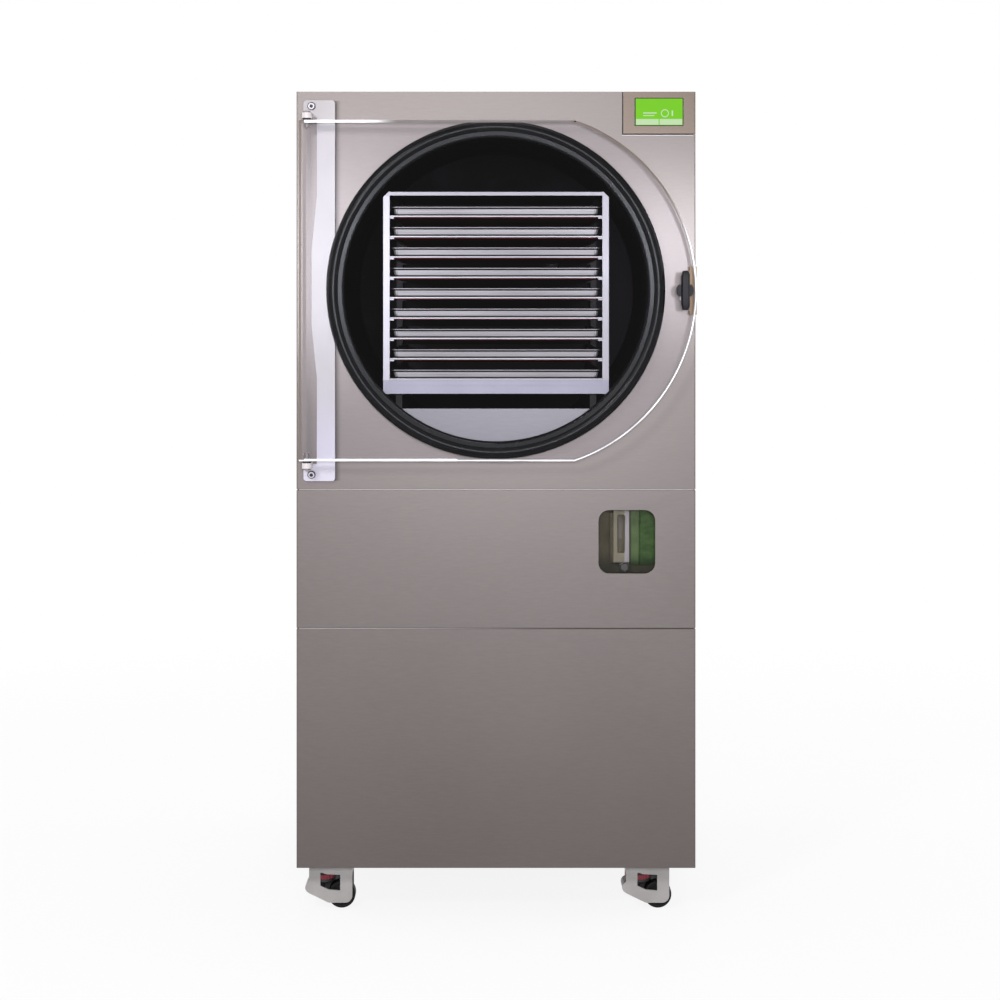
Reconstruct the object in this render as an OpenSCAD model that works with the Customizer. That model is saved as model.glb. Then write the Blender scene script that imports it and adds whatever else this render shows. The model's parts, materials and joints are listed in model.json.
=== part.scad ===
// Floor-standing laboratory freeze dryer with a clear side-hung door.
// Millimetres. The origin is on the floor under the middle of the machine,
// +Z is up, the front faces -Y, and +X is to the right seen from the front.

/* [Cabinet] */
// Width of the cabinet
body_w = 750; // [744:2:770]
// Depth of the cabinet
body_d = 860; // [850:2:880]
// Height of the cabinet above its casters
body_h = 1459; // [1455:1:1475]
// Height of the underside above the floor
underside_z = 90; // [90:1:91]
// Thickness of the folded sheet
sheet = 2; // [1.5:0.5:2]
// Gap between neighbouring panels
seam_gap = 2; // [1:0.5:3]
// Height of the lower front panel
lower_h = 449; // [440:1:455]
// Height of the middle front panel
middle_h = 259; // [255:1:262]

/* [Chamber and door] */
// Inner radius of the vacuum chamber
chamber_r = 293; // [292:1:294]
// Wall of the vacuum chamber
chamber_wall = 4; // [3:1:4]
// Height of the chamber's axis above the underside
chamber_up = 1087; // [1085:1:1089]
// How far the mouth seal stands in front of the panel
seal_proud = 32; // [31:1:33]
// Thickness of the clear door
door_t = 25; // [24:1:26]
// Height of the door
door_h = 634; // [628:1:640]
// Radius of the door's round side
door_arc_r = 335; // [333:1:336]

/* [Rack and trays] */
// Half the width of the rack over its posts
rack_half = 212; // [210:1:212]
// Depth of the rack
rack_d = 600; // [590:1:605]
// Number of trays
tray_count = 9; // [5:1:9]
// Distance from one shelf to the next
shelf_pitch = 38.3; // [37:0.1:38.5]
// Height of a tray
tray_h = 17.5; // [15:0.5:18]

/* [Window and controls] */
// Width of the pump window
window_w = 106; // [96:1:110]
// Height of the pump window
window_h = 119; // [110:1:122]
// Width of the control panel
control_w = 136; // [130:1:140]
// Height of the control panel
control_h = 79; // [76:1:82]

/* [Casters] */
// Radius of a caster wheel
wheel_r = 26; // [25:0.5:26]
// Distance from the cabinet's sides to a caster's swivel axis
caster_inset = 74; // [72:1:84]

/* [Hidden] */
TRAYS = [for (i = [1:tray_count]) str("tray_", i)];
CORNERS = ["front_left", "front_right", "rear_left", "rear_right"];
CASTERS = [for (c = CORNERS, part = ["body", "wheel", "thumbwheel", "foot"]) str("caster_", part, "_", c)];
CABINET = ["base_pan", "frame", "left_side_panel", "right_side_panel", "back_panel", "top_panel",
    "upper_front_panel", "middle_front_panel", "lower_front_panel", "window_pane",
    "control_panel", "display", "screws"];
CHAMBER = ["chamber_vessel", "chamber_insulation", "mouth_seal", "drip_dam", "rack_frame", "rack_shelves"];
MACHINE = ["compressor", "condenser", "fan_frame", "fan_blade", "vacuum_pump", "vacuum_hose",
    "electronics_box", "power_switch", "drain_valve", "drain_lever"];
DOOR = ["door", "hinge_plate", "hinge_pins", "latch_keeper", "latch_handle", "latch_tongue"];

$fn = 96;
fine = 32;              // facets of small round parts
play = 0.05;            // radial clearance of every running fit
air = 0.4;              // gap between parts that move past each other

// Cabinet
half_w = body_w / 2;
reach = 90;             // the latch handle's front stands this far in front of the panel
front_y = (reach - body_d) / 2;
back_y = front_y + body_d;
top_z = underside_z + body_h;
skin_y = front_y + sheet;                       // inner face of the front panels
wall_x = half_w - sheet;                        // inner face of the side panels
return_d = 25;                                  // depth of a front panel's folded sides
edge_r = 2;                                     // bend radius of the front corners
low_seam_z = underside_z + lower_h;
high_seam_z = low_seam_z + seam_gap + middle_h;
post = 25;                                      // square tube of the frame
post_y = skin_y + 2;                            // the tubes stand clear of the panels' round corners
recess = 40;                                    // the back panel is set in by this much
back_panel_y = back_y - recess;
pan_z = underside_z + 4;
pan_t = 3;
floor_z = pan_z + pan_t;                        // inside of the base pan
deck_t = 3;
deck_z = high_seam_z - sheet - deck_t;
shelf_z = low_seam_z + 53;                      // machine shelf that carries the pump

// Chamber
chamber_z = underside_z + chamber_up;
chamber_out = chamber_r + chamber_wall;
mouth_y = front_y - 23;                         // front edge of the steel vessel
chamber_back_y = front_y + 647;
foam_r = chamber_out + 40;
port_x = 120;                                   // vacuum port on the vessel's back
port_z = chamber_z + 60;
drain_z = chamber_z - 274;

// Door
door_back_y = front_y - seal_proud - air;
door_front_y = door_back_y - door_t;
door_mid_y = door_back_y - door_t / 2;
door_z = chamber_z - 2;
door_left = -half_w + 9;
door_arc_x = half_w - 2 - door_arc_r;
hinge_x = -half_w + 23;
hinge_r = 4;
latch_x = half_w - 25;
latch_z = door_z;
latch_r = 5;
plate_t = 10;                                   // hinge plate
plate_y = front_y - plate_t;
head_x = [-half_w + 14, -half_w + 73];          // the plate's two heads, left and right edge
head_h = 32;
arm_t = 10;
arm_r = 9;
pin_depth = 14;                                 // how far a hinge pin reaches into the door
arm_gap = 4;                                    // washer space between an arm and the door
head_gap = 8;                                   // from the door's edge to the plate's head
bow_z = [chamber_z - 165, chamber_z - 68, chamber_z + 72, chamber_z + 175];  // the strip bows out here
door_top = door_z + door_h / 2;
door_bottom = door_z - door_h / 2;

// Control panel and window
control_x = half_w - control_w;
control_z = top_z - control_h;
screen_x = control_x + 22;
screen_z = control_z + 15;
screen_w = 91;
screen_h = 52;
window_x = half_w - 129;
window_z = low_seam_z + 164;
window_r = 20;

// Rack
rack_y = front_y;                               // front of the rack
post_w = 12;
rack_corner = 10;                               // slanted corners at the rack's top
rack_in = rack_half - post_w;                   // inner face of the posts
rack_top_z = chamber_z + 184;
rack_bottom_z = chamber_z - 199 + 3;
first_rim_z = chamber_z + 157;                  // rim of the top tray
shelf_t = 3;
tray_half = 193;
tray_d = 570;
tray_t = 1.2;
rim_w = 4;

// Casters
swivel_x = half_w - caster_inset;
swivel_y = [front_y + caster_inset, back_y - caster_inset];
body_x = -11;                                   // middle of the casting beside the swivel axis
wheel_x = body_x + 18;
wheel_half = 15;
axle_r = 4;
screw_x = body_x - 20;
stem_r = 4.5;
nut_r = 24;                                     // thumbwheel of the levelling screw
cast_half_y = 27;
cast_wall = 4.5;
cast_top = underside_z - 1.2;

// Fasteners: middle of each bolt and screw in X and Z
hinge_bolt_x = -half_w + 29;
hinge_bolt_z = [door_top + arm_gap + arm_t + 15, door_bottom - arm_gap - arm_t - 14];
keeper_screw_x = half_w - 9.5;
keeper_screw_z = [latch_z - 35, latch_z + 35];
back_screws = [for (x = [-wall_x + 10, wall_x - 10], z = [floor_z + 30:330:top_z]) [x, z]];

// Vents in the side sheets: two columns of long slots beside the condenser
slot_half = 50;
slot_r = 4;
slot_rows = 9;
slot_pitch = 30;
slot_y = 60;                                    // middle between the two columns
slot_low_z = floor_z + 90;

// Cooling
fan_x = 50;
fan_z = floor_z + 185;
fan_r = 135;
fan_half = 150;                                 // half the side of the square housing
fan_depth = 58;
fan_y = back_panel_y - fan_depth;
fan_motor_r = 40;
fan_motor_l = 18;
fan_shaft_r = 4;
can_x = -200;                                   // compressor's axis
can_y = 60;
can_r = 105;
can_top_r = 62;
can_h = 212;                                    // straight part of the can
line_r = 5;                                     // copper lines
line_bend = 12;

// Vacuum pump and its line
pump_x = window_x + 9;
pump_y = front_y + 60;
pump_z = shelf_z + deck_t;
pump_case_z = pump_z + 44;
pump_case_h = 122;
pump_motor_r = 66;
pump_inlet_y = pump_y + 135;
pump_inlet_x = pump_x - 75;
hose_r = 13;
hose_bend = 28;
hose_z = pump_z + 140;

// Mains inlet and switch
box_half = 80;
box_d = 150;
box_h = 170;
inlet_x = -wall_x + 120;
inlet_z = shelf_z + 70;
switch_z = inlet_z + 50;
rocker_pin_r = 1.5;

// Drain cock
drain_pipe_r = 8;
valve_y = back_panel_y + sheet;
valve_stem_y = valve_y + 15.2;
spout_r = 7;
hose_notch = 19;                                // half the cut-out in the pan below the spout

// ---- Helpers ----

// A cylinder along Y between two depths
module ycyl(r, y0, y1, x, z) {
    translate([x, y1, z]) rotate([90, 0, 0]) cylinder(r = r, h = y1 - y0);
}

// A cylinder along Z between two heights
module zcyl(r, z0, z1, x, y) {
    translate([x, y, z0]) cylinder(r = r, h = z1 - z0);
}

// A cylinder along X between two sides
module xcyl(r, x0, x1, y, z) {
    translate([x0, y, z]) rotate([0, 90, 0]) cylinder(r = r, h = x1 - x0);
}

// A block given by its two corners
module block(a, b) {
    translate(a) cube(b - a);
}

// A flat outline in X and Z, made solid between two depths
module upright(y0, y1) {
    translate([0, y1, 0]) rotate([90, 0, 0]) linear_extrude(y1 - y0) children();
}

// A turned profile of radius and depth about the chamber's axis
module about_chamber() {
    translate([0, 0, chamber_z]) rotate([-90, 0, 0]) rotate_extrude($fn = 144) children();
}

// A rectangle between two corners with round corners
module round_rect(a, b, r) {
    translate([a.x + r, a.y]) square([b.x - a.x - 2 * r, b.y - a.y]);
    translate([a.x, a.y + r]) square([b.x - a.x, b.y - a.y - 2 * r]);
    for (x = [a.x + r, b.x - r], y = [a.y + r, b.y - r]) translate([x, y]) circle(r, $fn = 48);
}

// Pipe along a list of points, with bends of radius bend_r where the route turns square
module pipe(points, r, bend_r) {
    last = len(points) - 1;
    for (i = [0:last - 1]) {
        way = points[i + 1] - points[i];
        unit = way / norm(way);
        from = points[i] + unit * (i == 0 ? 0 : bend_r);
        to = points[i + 1] - unit * (i == last - 1 ? 0 : bend_r);
        length = norm(to - from);
        turn = [0, acos(unit.z), atan2(unit.y, unit.x)];
        translate(from) rotate(turn) cylinder(r = r, h = length, $fn = fine);
    }
    for (i = [1:last - 1]) {
        before = (points[i] - points[i - 1]) / norm(points[i] - points[i - 1]);
        after = (points[i + 1] - points[i]) / norm(points[i + 1] - points[i]);
        centre = points[i] + (after - before) * bend_r;
        side = cross(-after, before);
        multmatrix([
            [-after.x, before.x, side.x, centre.x],
            [-after.y, before.y, side.y, centre.y],
            [-after.z, before.z, side.z, centre.z]
        ]) rotate_extrude(angle = 90, $fn = 48) translate([bend_r, 0]) circle(r, $fn = fine);
    }
}

// ---- Cabinet ----

// Sheet round the front and back to the two sides, as a flat outline seen from above
module front_wrap() {
    difference() {
        wrap_outline(0, edge_r);
        wrap_outline(sheet, edge_r - sheet);
    }
}

module wrap_outline(inset, r) {
    x = half_w - inset;
    y0 = front_y + inset;
    y1 = front_y + return_d + inset;
    translate([-x + r, y0]) square([2 * x - 2 * r, y1 - y0]);
    translate([-x, y0 + r]) square([2 * x, y1 - y0 - r]);
    for (s = [-1, 1]) translate([s * (x - r), y0 + r]) circle(r, $fn = 48);
}

// Folded front panel between two heights
module front_panel(z0, z1) {
    translate([0, 0, z0]) linear_extrude(z1 - z0) front_wrap();
}

// Inward fold along a panel's edge, clear of the frame's posts
module fold(z0, half) {
    block([-half, skin_y, z0], [half, front_y + return_d, z0 + sheet]);
}

module lower_front_panel() {
    color("#827a76") {
        front_panel(underside_z, low_seam_z);
        fold(underside_z, wall_x);
        fold(low_seam_z - sheet, wall_x - post);
    }
}

module middle_front_panel() {
    z0 = low_seam_z + seam_gap;
    z1 = high_seam_z;
    color("#968e8c") difference() {
        union() {
            front_panel(z0, z1);
            fold(z0, wall_x - post);
            fold(z1 - sheet, wall_x - post);
        }
        upright(front_y - 1, skin_y + 1) window_outline(0);
    }
}

module window_outline(grow) {
    round_rect([window_x - window_w / 2 - grow, window_z - window_h / 2 - grow],
        [window_x + window_w / 2 + grow, window_z + window_h / 2 + grow], window_r + grow);
}

module window_pane() {
    color([0.8, 0.9, 0.85, 0.4]) upright(skin_y, skin_y + 3) window_outline(12);
}

module upper_front_panel() {
    z0 = high_seam_z + seam_gap;
    color("#b7b1ac") difference() {
        union() {
            front_panel(z0, top_z);
            fold(z0, wall_x - post);
            fold(top_z - sheet, wall_x);
        }
        ycyl(chamber_out + 1.5, front_y - 1, skin_y + 1, 0, chamber_z);
        block([control_x - 1, front_y - 1, control_z - 1], [half_w + 1, front_y + return_d + 1, top_z + 1]);
        for (z = hinge_bolt_z) ycyl(4.2, front_y - 1, skin_y + 1, hinge_bolt_x, z, $fn = fine);
        for (z = keeper_screw_z) ycyl(2.2, front_y - 1, skin_y + 1, keeper_screw_x, z, $fn = fine);
    }
}

// Corner plate that carries the display
module control_panel() {
    color("#b0a49c") {
        difference() {
            intersection() {
                front_panel(control_z, top_z);
                block([control_x, front_y - 1, control_z], [half_w + 1, front_y + return_d, top_z]);
            }
            block([screen_x, front_y - 1, screen_z], [screen_x + screen_w, skin_y + 1, screen_z + screen_h]);
        }
        block([control_x, skin_y, top_z - sheet], [wall_x, front_y + return_d, top_z]);
        for (z = [control_z, screen_z + screen_h + 2]) {
            block([control_x, skin_y, z], [wall_x - post - 0.5, skin_y + 8, z + sheet]);
        }
    }
}

// Touch display with its housing behind the panel
module display() {
    color("#83d22c") {
        block([screen_x + 0.3, front_y - 0.8, screen_z + 0.3],
            [screen_x + screen_w - 0.3, skin_y, screen_z + screen_h - 0.3]);
        block([screen_x - 5, skin_y, screen_z - 5],
            [wall_x - post - 1, skin_y + 16, screen_z + screen_h + 1]);
    }
}

// Louvred side sheet: s is -1 for the left side and 1 for the right
module side_panel(s) {
    y0 = front_y + return_d + 1;
    x0 = s > 0 ? wall_x : -half_w;
    flange = s > 0 ? [wall_x - 20, wall_x] : [-wall_x, -wall_x + 20];
    color("#b3ada9") difference() {
        union() {
            block([x0, y0, underside_z], [x0 + sheet, back_y, top_z]);
            block([flange[0], back_y - sheet, underside_z + 10], [flange[1], back_y, top_z - 10]);
        }
        for (column = [-1.5, 1.5], row = [0:slot_rows - 1]) {
            side_slot(x0, slot_y + column * slot_half, slot_low_z + row * slot_pitch);
        }
    }
}

// One long vent slot with round ends through a side sheet
module side_slot(x0, y, z) {
    block([x0 - 1, y - slot_half, z - slot_r], [x0 + sheet + 1, y + slot_half, z + slot_r]);
    for (end = [-slot_half, slot_half]) xcyl(slot_r, x0 - 1, x0 + sheet + 1, y + end, z, $fn = fine);
}

module left_side_panel() {
    side_panel(-1);
}

module right_side_panel() {
    side_panel(1);
}

module top_panel() {
    y0 = front_y + return_d + 1;
    color("#bcb6b2") {
        block([-wall_x + 0.3, y0, top_z - sheet], [wall_x - 0.3, back_y, top_z]);
        block([-wall_x + 30, back_y - sheet, top_z - 20], [wall_x - 30, back_y, top_z - sheet]);
    }
}

// Recessed rear sheet with the fan outlet and the holes for the services
module back_panel() {
    y0 = back_panel_y;
    y1 = back_panel_y + sheet;
    color("#a8a2a0") difference() {
        block([-wall_x, y0, floor_z], [wall_x, y1, top_z - sheet]);
        ycyl(6, y0 - 1, y1 + 1, fan_x, fan_z, $fn = fine);
        for (ring = [1:6], hole = [1:6 * ring]) {
            a = 60 * hole / ring;
            ycyl(6, y0 - 1, y1 + 1, fan_x + 20 * ring * cos(a), fan_z + 20 * ring * sin(a), $fn = 16);
        }
        ycyl(9.5, y0 - 1, y1 + 1, 0, drain_z, $fn = fine);
        block([inlet_x - 14.5, y0 - 1, inlet_z - 11], [inlet_x + 14.5, y1 + 1, inlet_z + 11]);
        block([inlet_x - 15, y0 - 1, switch_z - 12.5], [inlet_x + 15, y1 + 1, switch_z + 12.5]);
        for (p = back_screws) ycyl(2.2, y0 - 1, y1 + 1, p.x, p.y, $fn = fine);
    }
}

// Bottom tray with the four caster plates under it
module base_pan() {
    color("#8d8884") difference() {
        union() {
            block([-wall_x, post_y, pan_z], [wall_x, back_y - 2, floor_z]);
            block([-wall_x + post, skin_y, pan_z], [wall_x - post, post_y, floor_z]);
            block([-wall_x + post + 2, skin_y, floor_z], [wall_x - post - 2, skin_y + sheet, floor_z + 25]);
            for (x = [-swivel_x, swivel_x], y = swivel_y) {
                block([x - 37, y - 37, underside_z - 0.7], [x + 37, y + 37, pan_z]);
            }
        }
        for (x = [-swivel_x, swivel_x], y = swivel_y) {
            zcyl(8 + play, underside_z - 2, floor_z + 1, x, y, $fn = 48);
        }
        for (x = [-90:20:190]) block([x - 5, 0, pan_z - 1], [x + 5, 200, floor_z + 1]);
        block([-hose_notch, back_panel_y + sheet + 0.2, pan_z - 1], [hose_notch, back_y, floor_z + 1]);
    }
}

// Square-tube frame welded to the chamber deck, its two saddles and the machine shelf
module frame() {
    x = wall_x - post;
    color("#6f6a66") {
        difference() {
            union() {
                for (px = [-wall_x, x], py = [post_y, back_panel_y - post]) {
                    block([px, py, floor_z], [px + post, py + post, top_z - sheet]);
                }
                block([-wall_x, post_y, deck_z], [wall_x, chamber_back_y + 68, deck_z + deck_t]);
                block([-wall_x, post_y, shelf_z], [wall_x, back_panel_y, shelf_z + deck_t]);
            }
            for (px = [-wall_x, x], py = [post_y, back_panel_y - post]) {
                block([px + 2, py + 2, floor_z - 1], [px + post - 2, py + post - 2, top_z]);
            }
            block([-130, back_panel_y - 95, shelf_z - 1],
                [port_x + 30, back_panel_y + 1, shelf_z + deck_t + 1]);
        }
        for (y = [-250, 150]) difference() {
            block([-220, y, deck_z + deck_t], [220, y + 15, chamber_z - foam_r + 76]);
            ycyl(foam_r + 0.1, y - 1, y + 16, 0, chamber_z, $fn = 144);
        }
    }
}

// ---- Fasteners ----

// Button head with a washer and a shank; the head's top faces -Y
module front_screw(r, x, y, z) {
    ycyl(1.9 * r, y - 1.2, y, x, z, $fn = fine);
    difference() {
        ycyl(1.5 * r, y - 1.2 - 1.3 * r, y - 1.2, x, z, $fn = fine);
        ycyl(0.7 * r, y - 2 - 1.3 * r, y - 0.4 - 1.3 * r, x, z, $fn = 6);
    }
    ycyl(r, y, skin_y + 1.5, x, z, $fn = fine);
}

module screws() {
    y1 = back_panel_y + sheet;
    color("#d0cdd2") {
        for (z = hinge_bolt_z) front_screw(4, hinge_bolt_x, plate_y, z);
        for (z = keeper_screw_z) front_screw(2, keeper_screw_x, front_y - 3, z);
        for (p = back_screws) {
            ycyl(4, y1, y1 + 2.4, p.x, p.y, $fn = fine);
            ycyl(2, back_panel_y, y1, p.x, p.y, $fn = fine);
        }
    }
}

// ---- Chamber ----

// Steel vessel: a tube closed by a plate at the back, with two ports
module chamber_vessel() {
    color("#3a383c") difference() {
        union() {
            about_chamber() polygon([
                [chamber_r, mouth_y], [chamber_out, mouth_y], [chamber_out, chamber_back_y],
                [0, chamber_back_y], [0, chamber_back_y - 6], [chamber_r, chamber_back_y - 6]
            ]);
            ycyl(16, chamber_back_y - 1, chamber_back_y + 66, port_x, port_z, $fn = 48);
            ycyl(drain_pipe_r, chamber_back_y - 1, valve_y + 0.2, 0, drain_z, $fn = fine);
        }
        ycyl(14, chamber_back_y - 10, chamber_back_y + 70, port_x, port_z, $fn = 48);
        ycyl(drain_pipe_r - 2, chamber_back_y - 10, back_panel_y + 8, 0, drain_z, $fn = fine);
    }
}

// Foam jacket round the vessel
module chamber_insulation() {
    color("#3b3b3d") difference() {
        about_chamber() polygon([
            [chamber_out + 0.2, skin_y + 3], [foam_r, skin_y + 3], [foam_r, chamber_back_y + 30],
            [0, chamber_back_y + 30], [0, chamber_back_y + 0.2], [chamber_out + 0.2, chamber_back_y + 0.2]
        ]);
        ycyl(16.3, chamber_back_y - 1, chamber_back_y + 40, port_x, port_z, $fn = 48);
        ycyl(drain_pipe_r + 0.3, chamber_back_y - 1, chamber_back_y + 40, 0, drain_z, $fn = fine);
    }
}

// Rubber ring that grips the vessel's edge: a fat bead in front and a small lip inside
module mouth_seal() {
    bead_r = 12.3;
    lip_r = 4.5;
    front = front_y - seal_proud;
    color("#29282a") about_chamber() difference() {
        union() {
            translate([chamber_out + bead_r - 4.7, front + bead_r]) circle(bead_r, $fn = 64);
            translate([chamber_out, front + bead_r]) square([2 * bead_r - 4.7, seal_proud - bead_r - 0.3]);
            translate([chamber_r - lip_r, front + 15]) circle(lip_r, $fn = 48);
            translate([chamber_r - lip_r, front + 4]) square([2 * lip_r + 6, 11]);
        }
        translate([chamber_r - 0.2, mouth_y - 0.2]) square([chamber_wall + 0.4, 60]);
    }
}

// Dam plate across the bottom of the mouth, with its top edge folded back
module drip_dam() {
    top = chamber_z - 223;
    y0 = front_y - 11;
    low = chamber_z - chamber_r;
    color("#a29fa9") {
        upright(y0, y0 + 2.5) intersection() {
            translate([0, chamber_z]) circle(chamber_r - 0.1, $fn = 144);
            translate([-chamber_r, low]) square([2 * chamber_r, top - low]);
        }
        block([-184, y0 + 2.5, top - 2.5], [184, y0 + 10, top]);
    }
}

// ---- Rack ----

function rim_z(i) = first_rim_z - shelf_pitch * (i - 1);

// Welded rack: four posts, side rails, top sheet, base channel and small shelf tabs
module rack_frame() {
    back = rack_y + rack_d;
    base_z = rack_bottom_z + 14.5;
    last_shelf_z = rim_z(tray_count) - tray_h - shelf_t;
    color("#c9c6cc") {
        difference() {
            for (x = [-rack_half, rack_in], y = [rack_y, back - post_w]) {
                block([x, y, rack_bottom_z], [x + post_w, y + post_w, rack_top_z]);
            }
            for (s = [-1, 1]) {
                translate([s * rack_half, rack_y - 1, rack_top_z]) rotate([0, 45, 0]) {
                    side = rack_corner * sqrt(2);
                    translate([-side / 2, 0, -side / 2]) cube([side, rack_d + 2, side]);
                }
            }
        }
        for (x = [-rack_half + 1, rack_in + 1], z = [rack_bottom_z + 4, rack_top_z - 22]) {
            block([x, rack_y + post_w, z], [x + 10, back - post_w, z + 8]);
        }
        block([-rack_in, rack_y + 0.4, rack_top_z - 1.9], [rack_in, back - 0.4, rack_top_z - 0.4]);
        for (y = [rack_y + 0.4, back - 1.9]) {
            block([-rack_in, y, rack_top_z - 7], [rack_in, y + 1.5, rack_top_z - 1.5]);
            block([-rack_in, y, rack_bottom_z + 0.4], [rack_in, y + 1.5, base_z]);
        }
        for (y = [rack_y + 0.8, back - 2.3]) {
            block([-rack_in, y, base_z + 2], [rack_in, y + 1.5, last_shelf_z]);
        }
        for (y = [rack_y + 1.5, back - 3]) {
            block([-rack_in, y, base_z - 1.5], [rack_in, y + 1.5, base_z + 3.5]);
        }
        block([-rack_in, rack_y + 1.5, base_z - 1.5], [rack_in, back - 1.5, base_z]);
        for (s = [-1, 1], y = [rack_y + 2, back - 10], i = [1:tray_count]) {
            z = rim_z(i) - tray_h - shelf_t;
            block([s * rack_in - 4 - 4 * s, y, z - 3], [s * rack_in + 4 - 4 * s, y + 8, z]);
        }
        for (s = [-1, 1]) rack_runner(s);
    }
}

// Skid under the rack's base that stands on the round wall
module rack_runner(s) {
    intersection() {
        translate([s * 184 - post_w / 2, rack_y + 40, rack_bottom_z - 60]) cube([post_w, rack_d - 80, 77.5]);
        ycyl(chamber_r - 0.1, rack_y, rack_y + rack_d, 0, chamber_z, $fn = 144);
    }
}

module rack_shelves() {
    color("#d8d6da") for (i = [1:tray_count]) {
        z = rim_z(i) - tray_h;
        block([-rack_in, rack_y + 2, z - shelf_t], [rack_in, rack_y + rack_d - 2, z]);
    }
}

// Folded tray number i with a flat rim
module tray(i) {
    z1 = rim_z(i);
    z0 = z1 - tray_h;
    y0 = rack_y + 5;
    y1 = y0 + tray_d;
    color("#bdb9be") difference() {
        union() {
            block([-tray_half, y0, z0], [tray_half, y1, z1]);
            block([-tray_half - rim_w, y0 - rim_w, z1 - tray_t], [tray_half + rim_w, y1 + rim_w, z1]);
        }
        block([-tray_half + tray_t, y0 + tray_t, z0 + tray_t], [tray_half - tray_t, y1 - tray_t, z1 + 1]);
    }
}

// ---- Machine compartment ----

// Hermetic can on a mounting plate with four rubber feet
module compressor() {
    z = floor_z + 14;
    shoulder = can_r - can_top_r;
    color("#26262a") {
        translate([can_x, can_y, z + 3]) rotate_extrude() union() {
            square([can_top_r, can_h + shoulder]);
            square([can_r, can_h]);
            translate([can_top_r, can_h]) circle(shoulder);
        }
        block([can_x - 110, can_y - 110, z], [can_x + 110, can_y + 110, z + 3]);
        for (dx = [-90, 90], dy = [-90, 90]) zcyl(14, floor_z, z, can_x + dx, can_y + dy, $fn = fine);
        block([can_x + 95, can_y - 30, z + 90], [can_x + 130, can_y + 30, z + 150]);
    }
}

// Finned coil in front of the fan with the brazed lines of the cooling circuit
module condenser() {
    x0 = fan_x - 160;
    x1 = fan_x + 160;
    y0 = fan_y - 72;
    y1 = fan_y - 12;
    z0 = fan_z - fan_half;
    z1 = fan_z + fan_half;
    front_row = y0 + 15;
    back_row = y1 - 15;
    color("#b8a48c") {
        for (x = [x0, x1 - 4]) {
            block([x, y0, z0], [x + 4, fan_y, z1]);
            block([x, y0, floor_z], [x + 4, y1, z0]);
        }
        for (x = [x0 + 10:10:x1 - 10]) block([x - 1, y0, z0 + 4], [x + 1, y1, z1 - 4]);
        for (z = [z0 + 25:50:z1 - 20], y = [front_row, back_row]) xcyl(line_r, x0, x1, y, z, $fn = 16);
        condenser_line([
            [can_x + 30, can_y, floor_z + 272], [can_x + 30, can_y, floor_z + 320],
            [can_x + 30, front_row, floor_z + 320], [can_x + 30, front_row, z1 - 25],
            [x0 + 2, front_row, z1 - 25]
        ]);
        condenser_line([
            [x0 + 2, back_row, z1 - 25], [x0 - 15, back_row, z1 - 25], [x0 - 15, back_row, drain_z + 60],
            [-60, back_row, drain_z + 60], [-60, chamber_back_y + 30, drain_z + 60]
        ]);
    }
}

module condenser_line(points) {
    pipe(points, line_r, line_bend);
}

// Square fan housing with the motor held in its middle
module fan_frame() {
    x0 = fan_x - fan_half;
    x1 = fan_x + fan_half;
    z0 = fan_z - fan_half;
    y0 = fan_y;
    color("#2b2b2d") {
        difference() {
            block([x0, y0, z0], [x1, back_panel_y, fan_z + fan_half]);
            ycyl(fan_r + 6, y0 - 1, back_panel_y + 1, fan_x, fan_z);
        }
        block([x0, y0 - 12, z0], [x1, y0, z0 + 3]);
        ycyl(fan_motor_r, y0, y0 + fan_motor_l, fan_x, fan_z);
        for (a = [45:90:315]) translate([fan_x, y0, fan_z]) rotate([0, a, 0]) {
            translate([fan_motor_r - 2, 0, -4]) cube([fan_r - 30, 6, 8]);
        }
        ycyl(fan_shaft_r, y0 + fan_motor_l, y0 + 46, fan_x, fan_z, $fn = fine);
    }
}

// Five-blade fan on the motor's shaft
module fan_blade() {
    y0 = fan_y + fan_motor_l + 1;
    hub_l = 24;
    color("#3a3a3c") difference() {
        union() {
            ycyl(38, y0, y0 + hub_l, fan_x, fan_z);
            intersection() {
                for (a = [0:72:288]) translate([fan_x, y0 + hub_l / 2, fan_z]) rotate([0, a, 0]) {
                    rotate([24, 0, 0]) translate([30, -1.2, -36]) cube([fan_r, 2.4, 72]);
                }
                ycyl(fan_r, y0 - 5, y0 + 32, fan_x, fan_z);
            }
        }
        ycyl(fan_shaft_r + play, y0 - 10, y0 + 40, fan_x, fan_z, $fn = fine);
    }
}

// Rotary vane pump: oil case with sight glass, body, motor and feet
module vacuum_pump() {
    z0 = pump_case_z;
    z1 = z0 + pump_case_h;
    axis_z = z0 + 62;
    motor_y = pump_y + 150;
    color("#4c5a48") {
        block([pump_x - 64, pump_y, z0], [pump_x + 50, pump_y + 120, z1]);
        block([pump_x - 60, pump_y + 120, z0 - 8], [pump_x + 58, motor_y, z1 + 4]);
        difference() {
            block([pump_x - 38, pump_y - 9, z0 + 18], [pump_x - 5, pump_y, z0 + 114]);
            upright(pump_y - 10, pump_y - 4) {
                round_rect([pump_x - 28, z0 + 42], [pump_x - 15, z0 + 106], 6);
            }
        }
        ycyl(pump_motor_r, motor_y, motor_y + 210, pump_x, axis_z);
        for (a = [0:15:345]) translate([pump_x, 0, axis_z]) rotate([0, a, 0]) {
            translate([pump_motor_r - 2, motor_y + 15, -1]) cube([9, 180, 2]);
        }
        ycyl(pump_motor_r - 6, motor_y + 210, motor_y + 235, pump_x, axis_z);
        for (y = [pump_y + 20, pump_y + 250]) {
            block([pump_x - 60, y, pump_z], [pump_x + 60, y + 30, z0]);
        }
        xcyl(hose_r + 3, pump_inlet_x, pump_x - 60, pump_inlet_y, hose_z, $fn = fine);
        zcyl(14, z1, z1 + 8, pump_x + 15, pump_y + 60, $fn = fine);
    }
}

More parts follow.
